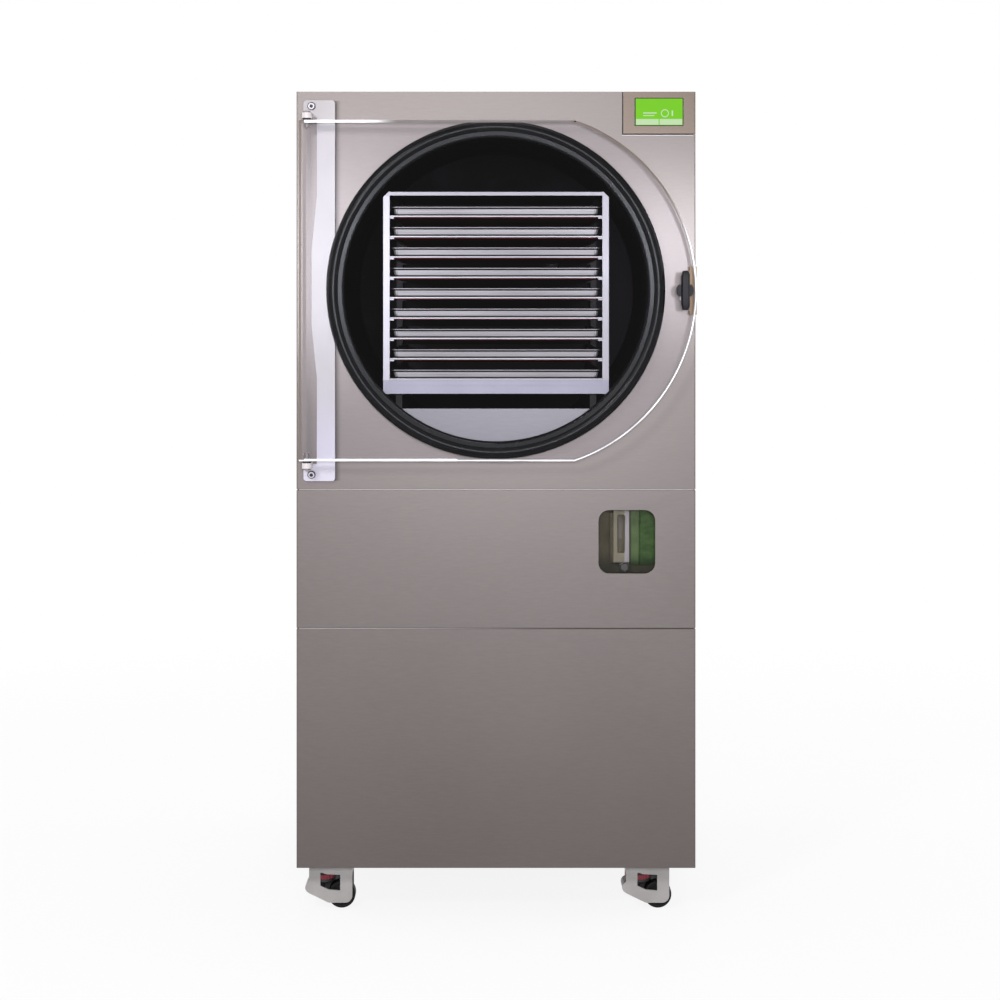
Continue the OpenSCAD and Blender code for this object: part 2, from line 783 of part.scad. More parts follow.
// Vacuum line from the vessel's port down behind the deck and forward to the pump's inlet
module vacuum_hose() {
    y0 = chamber_back_y + 66;
    turn_y = y0 + 2 * hose_bend;
    color("#c4b8a8") pipe([
        [port_x, y0, port_z], [port_x, turn_y, port_z], [port_x, turn_y, hose_z],
        [port_x, pump_inlet_y, hose_z], [pump_inlet_x, pump_inlet_y, hose_z]
    ], hose_r, hose_bend);
}

// Controls housing behind the back panel, with the mains inlet and the switch frame
module electronics_box() {
    x0 = inlet_x - box_half;
    x1 = inlet_x + box_half;
    y0 = back_panel_y - box_d;
    y1 = back_panel_y;
    z0 = shelf_z + deck_t;
    z1 = z0 + box_h;
    color("#c9c5bd") difference() {
        union() {
            difference() {
                block([x0, y0, z0], [x1, y1, z1]);
                block([x0 + 2, y0 + 2, z0 + 2], [x1 - 2, y1 - 40, z1 - 2]);
            }
            block([inlet_x - 14, y1, inlet_z - 10.5], [inlet_x + 14, y1 + 5, inlet_z + 10.5]);
            block([inlet_x - 14.5, y1, switch_z - 12], [inlet_x + 14.5, y1 + 5, switch_z + 12]);
        }
        block([inlet_x - 12, y1 - 16, inlet_z - 8.5], [inlet_x + 12, y1 + 6, inlet_z + 8.5]);
        block([inlet_x - 12, y1 - 16, switch_z - 10.2], [inlet_x + 12, y1 + 6, switch_z + 10.2]);
        xcyl(rocker_pin_r + play, inlet_x - 14, inlet_x + 14, y1 - 2, switch_z, $fn = fine);
    }
}

// Rocker of the mains switch on its two stub pivots
module power_switch() {
    y = back_panel_y - 2;
    color("#1f1f22") {
        translate([inlet_x - 11.4, y, switch_z]) rotate([90, 0, 90]) linear_extrude(22.8) {
            polygon([[-3, -7.6], [3.5, -7.8], [5.2, 0], [7.2, 7.8], [-3, 7.6]]);
        }
        xcyl(rocker_pin_r, inlet_x - 13.6, inlet_x + 13.6, y, switch_z, $fn = fine);
    }
}

// Drain cock on the vessel's outlet pipe: ball body, stem and hose spout
module drain_valve() {
    y0 = valve_stem_y - 11;
    color("#b89a56") difference() {
        union() {
            ycyl(13, y0, y0 + 22, 0, drain_z, $fn = 48);
            ycyl(10, y0 - 4, y0, 0, drain_z, $fn = 6);
            zcyl(spout_r, drain_z - 42, drain_z, 0, valve_stem_y, $fn = 48);
            zcyl(spout_r + 2.5, drain_z - 15, drain_z - 6, 0, valve_stem_y, $fn = 48);
            zcyl(6, drain_z, drain_z + 17, 0, valve_stem_y, $fn = fine);
            zcyl(3, drain_z + 17, drain_z + 25, 0, valve_stem_y, $fn = fine);
        }
        zcyl(spout_r - 2, drain_z - 43, drain_z, 0, valve_stem_y, $fn = fine);
        ycyl(5, y0 - 5, valve_stem_y, 0, drain_z, $fn = fine);
    }
}

// Flat quarter-turn handle on the drain cock's stem
module drain_lever() {
    reach_x = 62;
    z0 = drain_z + 17.4;
    z1 = z0 + 3.6;
    color("#b3282d") difference() {
        union() {
            zcyl(8, z0, z1, 0, valve_stem_y, $fn = fine);
            block([0, valve_stem_y - 5, z0], [reach_x, valve_stem_y + 5, z1]);
            zcyl(5, z0, z1, reach_x, valve_stem_y, $fn = fine);
        }
        zcyl(3 + play, z0 - 1, z1 + 1, 0, valve_stem_y, $fn = fine);
    }
}

// ---- Door, hinge and latch ----

// Clear door: straight on the hinge side, round on the latch side
module door() {
    color([0.86, 0.93, 0.95, 0.35]) difference() {
        upright(door_front_y, door_back_y) intersection() {
            union() {
                translate([door_left, door_bottom]) square([door_arc_x - door_left, door_h]);
                translate([door_arc_x, door_z]) circle(door_arc_r, $fn = 144);
            }
            translate([door_left, door_bottom]) square([body_w, door_h]);
        }
        for (z = [door_top - pin_depth - 2, door_bottom - 1]) {
            zcyl(hinge_r + play, z, z + pin_depth + 3, hinge_x, door_mid_y, $fn = 48);
        }
        ycyl(latch_r + play, door_front_y - 1, door_back_y + 1, latch_x, latch_z, $fn = 48);
    }
}

// Painted plate down the hinge side: two heads with an arm each, and a strip that bows out beside the seal
module hinge_plate() {
    heads = [[door_top + head_gap, door_top + head_gap + head_h],
        [door_bottom - head_gap - head_h, door_bottom - head_gap]];
    strip = [head_x[1] - 34, head_x[1]];
    arms = [door_top + arm_gap, door_bottom - arm_gap - arm_t];
    color("#e6e3e2") difference() {
        union() {
            upright(plate_y, front_y) {
                for (h = heads) round_rect([head_x[0], h[0]], [head_x[1], h[1]], 6);
                translate([strip[0], heads[1][1] - 10]) {
                    square([strip[1] - strip[0], heads[0][0] - heads[1][1] + 20]);
                }
                polygon([[strip[1], bow_z[0]], [strip[0], bow_z[0]], [strip[0] - 10, bow_z[1]],
                    [strip[0] - 10, bow_z[2]], [strip[0], bow_z[3]], [strip[1], bow_z[3]]]);
            }
            for (z = arms) {
                block([hinge_x - arm_r, door_mid_y, z], [hinge_x + arm_r, plate_y + 1, z + arm_t]);
                zcyl(arm_r, z, z + arm_t, hinge_x, door_mid_y, $fn = 48);
            }
        }
        ycyl(chamber_out + 21.5, plate_y - 1, front_y + 1, 0, chamber_z, $fn = 144);
        for (z = arms) zcyl(hinge_r + 0.02, z - 1, z + arm_t + 1, hinge_x, door_mid_y, $fn = 48);
        for (z = hinge_bolt_z) ycyl(4.2, plate_y - 1, front_y + 1, hinge_bolt_x, z, $fn = fine);
    }
}

// Two shouldered hinge pins, one from above and one from below
module hinge_pins() {
    color("#bab7bd") {
        for (s = [-1, 1]) {
            edge = s > 0 ? door_top : door_bottom;
            translate([hinge_x, door_mid_y, edge]) mirror([0, 0, s > 0 ? 0 : 1]) {
                translate([0, 0, -pin_depth]) {
                    cylinder(r = hinge_r, h = pin_depth + arm_gap + arm_t, $fn = 48);
                }
                translate([0, 0, air]) cylinder(r = 8, h = arm_gap - air, $fn = fine);
                translate([0, 0, arm_gap + arm_t]) cylinder(r = 7, h = 3, $fn = 6);
            }
        }
    }
}

// Folded strike beside the seal: foot on the panel, web, and a lip in front of the tongue's path
module latch_keeper() {
    web = half_w - 3.5;
    z0 = latch_z - 45;
    z1 = latch_z + 45;
    color("#a5876a") difference() {
        union() {
            block([half_w - 14, front_y - 3, z0], [half_w - 0.5, front_y, z1]);
            block([web, door_back_y + 0.5, z0], [web + 3, front_y - 3, z1]);
            block([half_w - 13, door_back_y + 0.5, z0], [web + 3, door_back_y + 4.5, z1]);
        }
        for (z = keeper_screw_z) ycyl(2.2, front_y - 4, front_y + 1, keeper_screw_x, z, $fn = fine);
    }
}

// T-handle: bar, hub with two shoulders and the shaft through the door
module latch_handle() {
    front = front_y - reach;
    color("#232226") {
        upright(front, front + 16) {
            round_rect([latch_x - 8, latch_z - 36.5], [latch_x + 8, latch_z + 36.5], 3.5);
        }
        upright(front + 12, door_front_y - 1.4) {
            round_rect([latch_x - 15.5, latch_z - 11], [latch_x + 15.5, latch_z + 11], 9);
        }
        ycyl(9, door_front_y - 1.4, door_front_y - air, latch_x, latch_z, $fn = 48);
        ycyl(latch_r, door_front_y - 1.4, door_back_y + 16, latch_x, latch_z, $fn = 48);
    }
}

// Steel tongue clamped on the shaft behind the door, hanging down when the latch is free
module latch_tongue() {
    y0 = door_back_y + 9.5;
    color("#bcb9bf") {
        difference() {
            upright(y0, y0 + 5) {
                translate([latch_x, latch_z]) circle(9, $fn = 48);
                round_rect([latch_x - 7, latch_z - 18.5], [latch_x + 7, latch_z + 1], 3);
            }
            ycyl(latch_r + 0.02, y0 - 1, y0 + 6, latch_x, latch_z, $fn = 48);
        }
        difference() {
            ycyl(8, door_back_y + air, y0, latch_x, latch_z, $fn = 48);
            ycyl(latch_r + 0.02, door_back_y, y0 + 1, latch_x, latch_z, $fn = 48);
        }
    }
}

// ---- Casters: every piece is drawn about its swivel axis and then put under a corner ----

function corner_at(c) = [
    (c % 2 == 0 ? -1 : 1) * swivel_x,
    swivel_y[c < 2 ? 0 : 1],
    0
];

// Side outline of the casting: round nose at the left, sloping belly, open round the wheel
module cast_outline() {
    x = body_x;
    polygon([
        [x - 43, cast_top], [x - 43, 31], [x - 6, 13], [x + 25, 13], [x + 39, 27], [x + 39, cast_top]
    ]);
    translate([x - 39.5, 42]) circle(11, $fn = 48);
    polygon([[x - 43.2, 31.6], [x - 39, 53], [x - 20, 40], [x - 20, 20.6]]);
    translate([x + 25, 27]) circle(14, $fn = 48);
}

// Opening in the front cheek
module cast_window() {
    x = body_x;
    polygon([
        [x - 21.6, 70], [x - 18, 70], [x - 10, 67], [x + 16, 66], [x + 16, 36], [x - 6, 38], [x - 21.6, 45]
    ]);
}

// White casting with axle, swivel stem, and room inside for the wheel and the levelling screw
module caster_body(c) {
    inner = cast_half_y - cast_wall;
    x = body_x;
    color("#dcd9d8") translate(corner_at(c)) {
        difference() {
            upright(-cast_half_y, cast_half_y) cast_outline();
            upright(-cast_half_y - 1, 1 - inner) cast_window();
            block([x - 35, -inner, -1], [x + 45, inner, 65.5]);
            block([x - 45, -14, 48.5], [x - 30, 14, 65.5]);
            zcyl(stem_r + play, 60, 86, screw_x, 0, $fn = 48);
            zcyl(nut_r + 1, 48.5, 65.5, screw_x, 0, $fn = 48);
        }
        difference() {
            block([x + 5.5, -1.5, 48], [x + 20, 1.5, 66]);
            ycyl(wheel_r + 1.5, -2, 2, wheel_x, wheel_r, $fn = 96);
        }
        for (s = [-1, 1]) {
            y = s > 0 ? [wheel_half + air, inner + 1] : [-inner - 1, -wheel_half - air];
            ycyl(9, y[0], y[1], wheel_x, wheel_r, $fn = fine);
        }
        ycyl(axle_r, -inner, inner, wheel_x, wheel_r, $fn = 48);
        zcyl(8, cast_top - 1, floor_z + 4, 0, 0, $fn = 48);
        zcyl(12, floor_z + air, floor_z + 4, 0, 0, $fn = 48);
    }
}

// Hard tyre with slightly rounded edges and a recessed hub
module caster_wheel(c) {
    edge = 3;
    bore = axle_r + play;
    color("#1c1b1c") translate(corner_at(c)) translate([wheel_x, 0, wheel_r]) rotate([90, 0, 0]) {
        rotate_extrude() difference() {
            union() {
                translate([bore, -wheel_half]) square([wheel_r - edge - bore, 2 * wheel_half]);
                translate([bore, edge - wheel_half]) square([wheel_r - bore, 2 * (wheel_half - edge)]);
                for (s = [-1, 1]) {
                    translate([wheel_r - edge, s * (wheel_half - edge)]) circle(edge, $fn = fine);
                }
            }
            for (s = [-1, 1]) translate([11, s * wheel_half - 2]) square([8, 4]);
        }
    }
}

// Knurled nut of the levelling screw: a wide rim above a narrower rubber band
module caster_thumbwheel(c) {
    color("#a3202c") translate(corner_at(c)) difference() {
        union() {
            zcyl(nut_r, 56, 64.5, screw_x, 0);
            zcyl(nut_r - 1.5, 50.5, 56, screw_x, 0);
            zcyl(9, 64.5, 65.1, screw_x, 0, $fn = fine);
        }
        for (a = [0:20:340]) translate([screw_x, 0, 55]) rotate([0, 0, a]) {
            translate([nut_r + 0.8, 0, 0]) cylinder(r = 1.8, h = 12, $fn = 16);
        }
        zcyl(stem_r + play, 49, 66, screw_x, 0, $fn = 48);
    }
}

// Levelling screw with its pad, drawn up into the casting
module caster_foot(c) {
    color("#3a3a3c") translate(corner_at(c)) {
        zcyl(stem_r, 30, 85, screw_x, 0, $fn = 48);
        zcyl(10, 27, 31, screw_x, 0, $fn = 48);
        zcyl(9.5, 25, 27, screw_x, 0, $fn = 48);
    }
}

// ---- What is drawn ----

base_pan();
frame();
left_side_panel();
right_side_panel();
back_panel();
top_panel();
upper_front_panel();
middle_front_panel();
lower_front_panel();
window_pane();
control_panel();
display();
screws();
chamber_vessel();
chamber_insulation();
mouth_seal();
drip_dam();
rack_frame();
rack_shelves();
for (i = [1:tray_count]) tray(i);
compressor();
condenser();
fan_frame();
fan_blade();
vacuum_pump();
vacuum_hose();
electronics_box();
power_switch();
drain_valve();
drain_lever();
door();
hinge_plate();
hinge_pins();
latch_keeper();
latch_handle();
latch_tongue();
for (c = [0:3]) caster_body(c);
for (c = [0:3]) caster_wheel(c);
for (c = [0:3]) caster_thumbwheel(c);
for (c = [0:3]) caster_foot(c);
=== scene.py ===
import json
import math

import bmesh
import bpy
from mathutils import Matrix, Vector

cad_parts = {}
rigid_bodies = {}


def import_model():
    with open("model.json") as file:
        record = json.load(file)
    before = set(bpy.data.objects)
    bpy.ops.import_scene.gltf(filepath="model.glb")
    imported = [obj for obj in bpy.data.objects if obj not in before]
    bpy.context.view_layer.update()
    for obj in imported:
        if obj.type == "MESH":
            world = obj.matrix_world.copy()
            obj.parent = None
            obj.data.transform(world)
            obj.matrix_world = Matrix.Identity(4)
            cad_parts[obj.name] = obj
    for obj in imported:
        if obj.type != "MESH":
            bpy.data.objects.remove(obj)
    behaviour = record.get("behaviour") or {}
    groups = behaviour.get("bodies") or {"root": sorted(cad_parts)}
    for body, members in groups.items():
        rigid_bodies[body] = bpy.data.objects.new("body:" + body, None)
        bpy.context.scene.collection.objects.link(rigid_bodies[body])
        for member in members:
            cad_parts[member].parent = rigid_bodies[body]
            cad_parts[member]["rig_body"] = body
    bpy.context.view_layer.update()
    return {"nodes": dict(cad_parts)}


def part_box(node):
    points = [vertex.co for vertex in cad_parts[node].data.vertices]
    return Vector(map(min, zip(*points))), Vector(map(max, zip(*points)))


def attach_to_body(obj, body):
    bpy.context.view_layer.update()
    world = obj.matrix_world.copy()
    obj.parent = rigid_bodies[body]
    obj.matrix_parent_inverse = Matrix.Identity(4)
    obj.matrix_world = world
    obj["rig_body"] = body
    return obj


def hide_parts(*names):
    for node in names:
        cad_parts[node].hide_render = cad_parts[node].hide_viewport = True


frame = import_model()
nodes = frame["nodes"]
corners = ["front_left", "front_right", "rear_left", "rear_right"]
print("frame loaded")


# Selecting and shaping

def settle():
    if bpy.context.mode != "OBJECT":
        bpy.ops.object.mode_set(mode="OBJECT")
    bpy.ops.object.select_all(action="DESELECT")


def only(piece):
    settle()
    piece.select_set(True)
    bpy.context.view_layer.objects.active = piece
    return piece


def edit(piece, kind="FACE"):
    only(piece)
    bpy.ops.object.mode_set(mode="EDIT")
    bpy.ops.mesh.select_mode(type=kind)
    bpy.ops.mesh.select_all(action="DESELECT")


def pickFaces(piece, test):
    # test gets the middle and the normal of each face
    bpy.ops.mesh.select_mode(type="FACE")
    bpy.ops.mesh.select_all(action="DESELECT")
    mesh = bmesh.from_edit_mesh(piece.data)
    for face in mesh.faces:
        face.select_set(bool(test(face.calc_center_median(), face.normal)))
    bmesh.update_edit_mesh(piece.data)


def pickEdges(piece, test):
    # test gets the two ends of each edge
    bpy.ops.mesh.select_mode(type="EDGE")
    bpy.ops.mesh.select_all(action="DESELECT")
    mesh = bmesh.from_edit_mesh(piece.data)
    for edge in mesh.edges:
        edge.select_set(bool(test(edge.verts[0].co, edge.verts[1].co)))
    bmesh.update_edit_mesh(piece.data)


def block(name, low, high):
    settle()
    low, high = Vector(low), Vector(high)
    bpy.ops.mesh.primitive_cube_add(size=1, location=(low + high) / 2)
    piece = bpy.context.object
    piece.name = name
    piece.scale = high - low
    bpy.ops.object.transform_apply(location=True, rotation=True, scale=True)
    return piece


def rod(name, radius, start, end, sides=32):
    settle()
    start, end = Vector(start), Vector(end)
    way = end - start
    bpy.ops.mesh.primitive_cylinder_add(
        vertices=sides, radius=radius, depth=way.length, location=(start + end) / 2,
        rotation=way.to_track_quat("Z", "Y").to_euler())
    piece = bpy.context.object
    piece.name = name
    bpy.ops.object.transform_apply(location=True, rotation=True, scale=True)
    return piece


def modify(piece, kind, **settings):
    only(piece)
    modifier = piece.modifiers.new(kind.lower(), kind)
    for key, value in settings.items():
        setattr(modifier, key, value)
    bpy.ops.object.modifier_apply(modifier=modifier.name)


def roundEdges(piece, width, segments=2, angle=40):
    modify(piece, "BEVEL", width=width, segments=segments, limit_method="ANGLE",
           angle_limit=math.radians(angle), miter_outer="MITER_ARC")


def smooth(piece, angle=35):
    only(piece)
    bpy.ops.object.shade_smooth_by_angle(angle=math.radians(angle))
    modify(piece, "WEIGHTED_NORMAL", keep_sharp=True, weight=60)


def join(name, pieces):
    only(pieces[0])
    for piece in pieces[1:]:
        piece.select_set(True)
    bpy.ops.object.join()
    pieces[0].name = name
    return pieces[0]


def twin(piece, name, shift):
    copy = piece.copy()
    copy.data = piece.data.copy()
    copy.name = name
    copy.data.transform(Matrix.Translation(shift))
    bpy.context.collection.objects.link(copy)
    return copy


def attach(piece, body, finish, stands=()):
    piece.data.materials.clear()
    piece.data.materials.append(finish)
    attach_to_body(piece, body)
    if stands:
        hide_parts(*stands)
    return piece


def camel(node):
    first, *rest = node.split("_")
    return first + "".join(word.capitalize() for word in rest)


# Solids that keep their triangles: a face with a hole in it would close over when they merge
pierced = ["middle_front_panel"] + ["caster_thumbwheel_" + corner for corner in corners]


def dress(node, finish, width=0.0):
    # a copy of a CAD solid with its doubles merged and its edges rounded
    source = nodes[node]
    piece = bpy.data.objects.new(camel(node) + "Skin", source.data.copy())
    bpy.context.collection.objects.link(piece)
    edit(piece, "VERT")
    bpy.ops.mesh.select_all(action="SELECT")
    bpy.ops.mesh.remove_doubles(threshold=0.00002)
    if node not in pierced:
        bpy.ops.mesh.dissolve_limited(angle_limit=math.radians(0.3))
    settle()
    if width:
        roundEdges(piece, width)
    smooth(piece)
    return attach(piece, source["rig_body"], finish, [node])


# Finishes: Python sums on sockets add Math nodes

class Wire:
    def __init__(self, graph, socket):
        self.graph = graph
        self.socket = socket

    def sum(self, operation, other, swap=False):
        first, second = (other, self) if swap else (self, other)
        return self.graph.node("Math", {"operation": operation}, {0: first, 1: second})

    def __add__(self, other):
        return self.sum("ADD", other)

    def __radd__(self, other):
        return self.sum("ADD", other, True)

    def __sub__(self, other):
        return self.sum("SUBTRACT", other)

    def __rsub__(self, other):
        return self.sum("SUBTRACT", other, True)

    def __mul__(self, other):
        return self.sum("MULTIPLY", other)

    def __rmul__(self, other):
        return self.sum("MULTIPLY", other, True)

    def __truediv__(self, other):
        return self.sum("DIVIDE", other)

    def __gt__(self, other):
        return self.sum("GREATER_THAN", other)

    def __lt__(self, other):
        return self.sum("LESS_THAN", other)

    def __abs__(self):
        return self.sum("ABSOLUTE", 0)

    def out(self, name):
        return Wire(self.graph, self.socket.node.outputs[name])


class Graph:
    def __init__(self, owner):
        owner.use_nodes = True
        self.owner = owner
        self.tree = owner.node_tree
        self.tree.nodes.clear()

    def node(self, kind, settings=None, sockets=None, out=0):
        made = self.tree.nodes.new("ShaderNode" + kind)
        for key, value in (settings or {}).items():
            if key == "stops":
                ramp = made.color_ramp.elements
                while len(ramp) < len(value):
                    ramp.new(0.5)
                for element, (place, colour) in zip(ramp, value):
                    element.position = place
                    element.color = colour
            else:
                setattr(made, key, value)
        for key, value in (sockets or {}).items():
            if isinstance(value, Wire):
                self.tree.links.new(value.socket, made.inputs[key])
            else:
                made.inputs[key].default_value = value
        return Wire(self, made.outputs[out]) if made.outputs else None

    def place(self):
        return self.node("TexCoord", out="Object")

    def axes(self):
        split = self.node("SeparateXYZ", {}, {0: self.place()})
        return split.out("X"), split.out("Y"), split.out("Z")

    def noise(self, scale, stretch=(1, 1, 1), detail=3.0):
        spread = self.node("Mapping", {}, {"Vector": self.place(), "Scale": stretch})
        return self.node("TexNoise", {}, {"Vector": spread, "Scale": scale, "Detail": detail,
                                          "Roughness": 0.55})

    def ramp(self, value, low, high):
        # 0 below low, 1 above high
        return self.node("MapRange", {"interpolation_type": "SMOOTHSTEP"},
                         {"Value": value, "From Min": low, "From Max": high})

    def mix(self, factor, first, second):
        return self.node("Mix", {"data_type": "RGBA"}, {0: factor, 6: first, 7: second}, out=2)

    def surface(self, sockets, height=None, depth=0.0002, strength=0.5):
        if height is not None:
            sockets["Normal"] = self.node("Bump", {}, {"Height": height, "Distance": depth,
                                                       "Strength": strength})
        shader = self.node("BsdfPrincipled", {}, sockets)
        self.close(shader)
        return self.owner

    def close(self, shader):
        kind = "OutputWorld" if isinstance(self.owner, bpy.types.World) else "OutputMaterial"
        self.node(kind, {}, {"Surface": shader})


def material(name):
    return Graph(bpy.data.materials.new(name))


def tone(red, green, blue):
    # a screen colour as the renderer's own
    def level(value):
        value /= 255
        return value / 12.92 if value <= 0.04045 else ((value + 0.055) / 1.055) ** 2.4
    return (level(red), level(green), level(blue), 1)


def metalFinish(name, look, marks=None):
    # marks may change the colour by place
    g = material(name)
    streak = g.noise(look["grain"], look["stretch"], 4)
    cloud = g.noise(look["cloud"], detail=2)
    worn = streak * 0.55 + cloud * 0.45
    colour = g.mix(g.ramp(worn, 0.3, 0.7), look["dark"], look["light"])
    if marks:
        colour = marks(g, colour)
    rough = look["rough"] + (streak - 0.5) * look["roughSpread"] + (cloud - 0.5) * 0.06
    return g.surface({"Base Color": colour, "Metallic": look["metal"], "Roughness": rough},
                     streak, 0.0001, look["bump"])


def paintFinish(name, look, marks=None):
    g = material(name)
    grain = g.noise(look["grain"], detail=2)
    cloud = g.noise(6, detail=3)
    colour = g.mix(g.ramp(cloud, 0.3, 0.7), look["dark"], look["light"])
    if marks:
        colour = marks(g, colour)
    rough = look["rough"] + (grain - 0.5) * 0.12
    return g.surface({"Base Color": colour, "Roughness": rough, "Metallic": look.get("metal", 0.0),
                      "Coat Weight": look.get("coat", 0.0),
                      "Specular IOR Level": look.get("shine", 0.5)},
                     grain, look["depth"], look["bump"])


frontSteelLook = {"dark": tone(97, 90, 88), "light": tone(103, 96, 94), "metal": 0.6,
                  "rough": 0.4, "roughSpread": 0.05, "grain": 420, "stretch": (0.12, 1, 1),
                  "cloud": 2.2, "bump": 0.06}
sideSteelLook = dict(frontSteelLook, dark=tone(128, 120, 117), light=tone(138, 130, 127),
                     stretch=(1, 0.12, 1))
topSteelLook = dict(sideSteelLook, stretch=(0.12, 1, 1))
controlLook = dict(frontSteelLook, dark=tone(87, 75, 65), light=tone(94, 82, 72),
                   metal=0.5, rough=0.38)
damLook = dict(frontSteelLook, dark=tone(86, 84, 87), light=tone(92, 90, 93), rough=0.36)
rackLook = {"dark": tone(138, 135, 140), "light": tone(152, 149, 154), "metal": 0.75,
            "rough": 0.5, "roughSpread": 0.08, "grain": 420, "stretch": (1, 1, 0.08),
            "cloud": 14, "bump": 0.05}
shelfLook = dict(rackLook, dark=tone(140, 138, 142), light=tone(156, 154, 158),
                 stretch=(0.06, 1, 1))
trayLook = {"dark": tone(134, 131, 134), "light": tone(166, 163, 166), "metal": 0.85,
            "rough": 0.42, "roughSpread": 0.06, "grain": 330, "stretch": (0.008, 1, 1),
            "cloud": 5, "bump": 0.03}
pinLook = dict(rackLook, dark=tone(132, 129, 134), light=tone(160, 157, 162), metal=0.85,
               rough=0.46, stretch=(1, 1, 1))
hingePinLook = dict(pinLook, dark=tone(120, 114, 114), light=tone(138, 132, 132), metal=0.3,
                    rough=0.6)
strikeLook = {"dark": tone(90, 71, 49), "light": tone(116, 96, 72), "metal": 0.4,
              "rough": 0.5, "roughSpread": 0.1, "grain": 300, "stretch": (1, 1, 0.1),
              "cloud": 30, "bump": 0.2}
copperLook = {"dark": tone(160, 92, 64), "light": tone(206, 134, 98), "metal": 0.95,
              "rough": 0.32, "roughSpread": 0.2, "grain": 90, "stretch": (1, 1, 1),
              "cloud": 12, "bump": 0.15}
brassLook = dict(copperLook, dark=tone(160, 128, 66), light=tone(206, 176, 108))
framePaintLook = {"dark": tone(92, 88, 86), "light": tone(112, 108, 105), "rough": 0.5,
                  "grain": 900, "depth": 0.0002, "bump": 0.3}
hingePaintLook = {"dark": tone(166, 160, 162), "light": tone(176, 170, 172), "rough": 0.4,
                  "grain": 1100, "depth": 0.0001, "bump": 0.25}
casterPaintLook = {"dark": tone(152, 147, 144), "light": tone(176, 171, 169), "rough": 0.42,
                   "grain": 800, "depth": 0.0003, "bump": 0.35}
boxPaintLook = {"dark": tone(190, 186, 178), "light": tone(206, 202, 195)}
blackPaintLook = {"dark": tone(26, 26, 29), "light": tone(42, 42, 46)}
blackPlasticLook = {"dark": tone(32, 32, 34), "light": tone(46, 46, 48), "rough": 0.5,
                    "grain": 1400, "depth": 0.0002, "bump": 0.35}
handleLook = {"dark": tone(12, 9, 14), "light": tone(19, 15, 21), "rough": 0.44,
              "grain": 1200, "depth": 0.0002, "bump": 0.2, "shine": 0.12}
foamLook = {"dark": tone(30, 30, 32), "light": tone(56, 56, 58), "rough": 0.95,
            "grain": 240, "depth": 0.002, "bump": 0.9, "shine": 0.2}
pumpPaintLook = {"dark": tone(74, 66, 51), "light": tone(92, 84, 68)}
leverLook = {"dark": tone(160, 26, 32), "light": tone(190, 40, 44), "rough": 0.4,
             "grain": 500, "depth": 0.0002, "bump": 0.2, "coat": 0.3}
matLook = {"dark": tone(88, 12, 18), "light": tone(112, 20, 26), "rough": 0.7,
           "grain": 1600, "depth": 0.0002, "bump": 0.5, "shine": 0.2}

# Marks: painted shade deep in the chamber, painted shade lines at the tray rims, painted shade in
# the bolt sockets, and dark collars

def paintedChamberShade(g, colour):
    # painted shade: metal deeper than the front of the rack is darkened
    x, y, z = g.axes()
    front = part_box("rack_frame")[0].y
    inside = g.ramp(y, front + 0.016, front + 0.07)
    return g.mix(inside, colour, tone(34, 32, 34))


def rackMarks(g, colour):
    # darker, bluish base channel; painted shade on the right posts and the top bar, and the skids
    # under the rack painted black as shade
    x, y, z = g.axes()
    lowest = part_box("tray_9")[0].z
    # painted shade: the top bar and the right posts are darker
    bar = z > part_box("rack_frame")[1].z - 0.008
    post = g.mix(x > 0, colour, tone(134, 131, 136))
    base = g.mix(z < lowest - 0.003, g.mix(bar, post, tone(132, 129, 134)), tone(124, 122, 132))
    # painted shade: the skids below the base channel are black
    skidShade = g.mix(z < lowest - 0.0296, base, tone(20, 20, 21))
    return paintedChamberShade(g, skidShade)


# depths below each tray's top where the painted shade lines end
trayShadeLines = {"rim": 0.0032, "groove": 0.0058}


def trayMarks(g, colour):
    # painted shade on the rim, a painted shadow line under it, a painted shade line above the
    # shelf, and painted highlights on the corners
    x, y, z = g.axes()
    low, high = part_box("tray_1")
    pitch = high.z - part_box("tray_2")[1].z
    turns = (high.z + 0.0001 - z) / pitch
    drop = turns.sum("FRACT", 0) * pitch
    rim = drop < trayShadeLines["rim"]
    corner = abs(x) > high.x - 0.0105
    groove = (drop > trayShadeLines["rim"]) * (drop < trayShadeLines["groove"])
    foot = drop > high.z - low.z - 0.0030
    face = g.mix(corner, colour, tone(196, 193, 196))
    edged = g.mix(rim, g.mix(foot, face, tone(84, 81, 83)), tone(88, 85, 87))
    return paintedChamberShade(g, g.mix(groove, edged, tone(14, 12, 13)))


def portMarks(g, colour):
    # painted shade: the end inside the vessel is as dark as its wall
    x, y, z = g.axes()
    return g.mix(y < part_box("chamber_vessel")[1].y + 0.002, colour, tone(18, 16, 18))


boltPlace = {"x": -0.346, "rise": 0.3455, "socket": 0.0032, "head": 0.0060}


def boltMarks(g, colour):
    # painted shade in the socket, and a dark rim, on the two hinge bolts
    x, y, z = g.axes()
    b = boltPlace
    low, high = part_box("hinge_plate")
    across = x - b["x"]
    along = abs(z - (low.z + high.z) / 2) - b["rise"]
    reach = (across * across + along * along).sum("POWER", 0.5)
    ring = (reach < b["socket"]) + (reach > b["head"]) * (reach < 2 * b["head"])
    return g.mix(ring, colour, tone(46, 42, 44))


def frontMarks(g, colour):
    # painted shadow beside the hinge strip, and painted shade making the panels darker toward the
    # floor
    x, y, z = g.axes()
    low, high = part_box("hinge_plate")
    beside = (1 - g.ramp(x, high.x, high.x + 0.012)) * (x > high.x - 0.01)
    level = (z > low.z) * (z < high.z)
    stripShadowed = g.mix(beside * level * 0.62, colour, tone(30, 26, 24))
    return g.mix(0.32 - g.ramp(z, 0.1, 0.5) * 0.32, stripShadowed, tone(78, 70, 68))


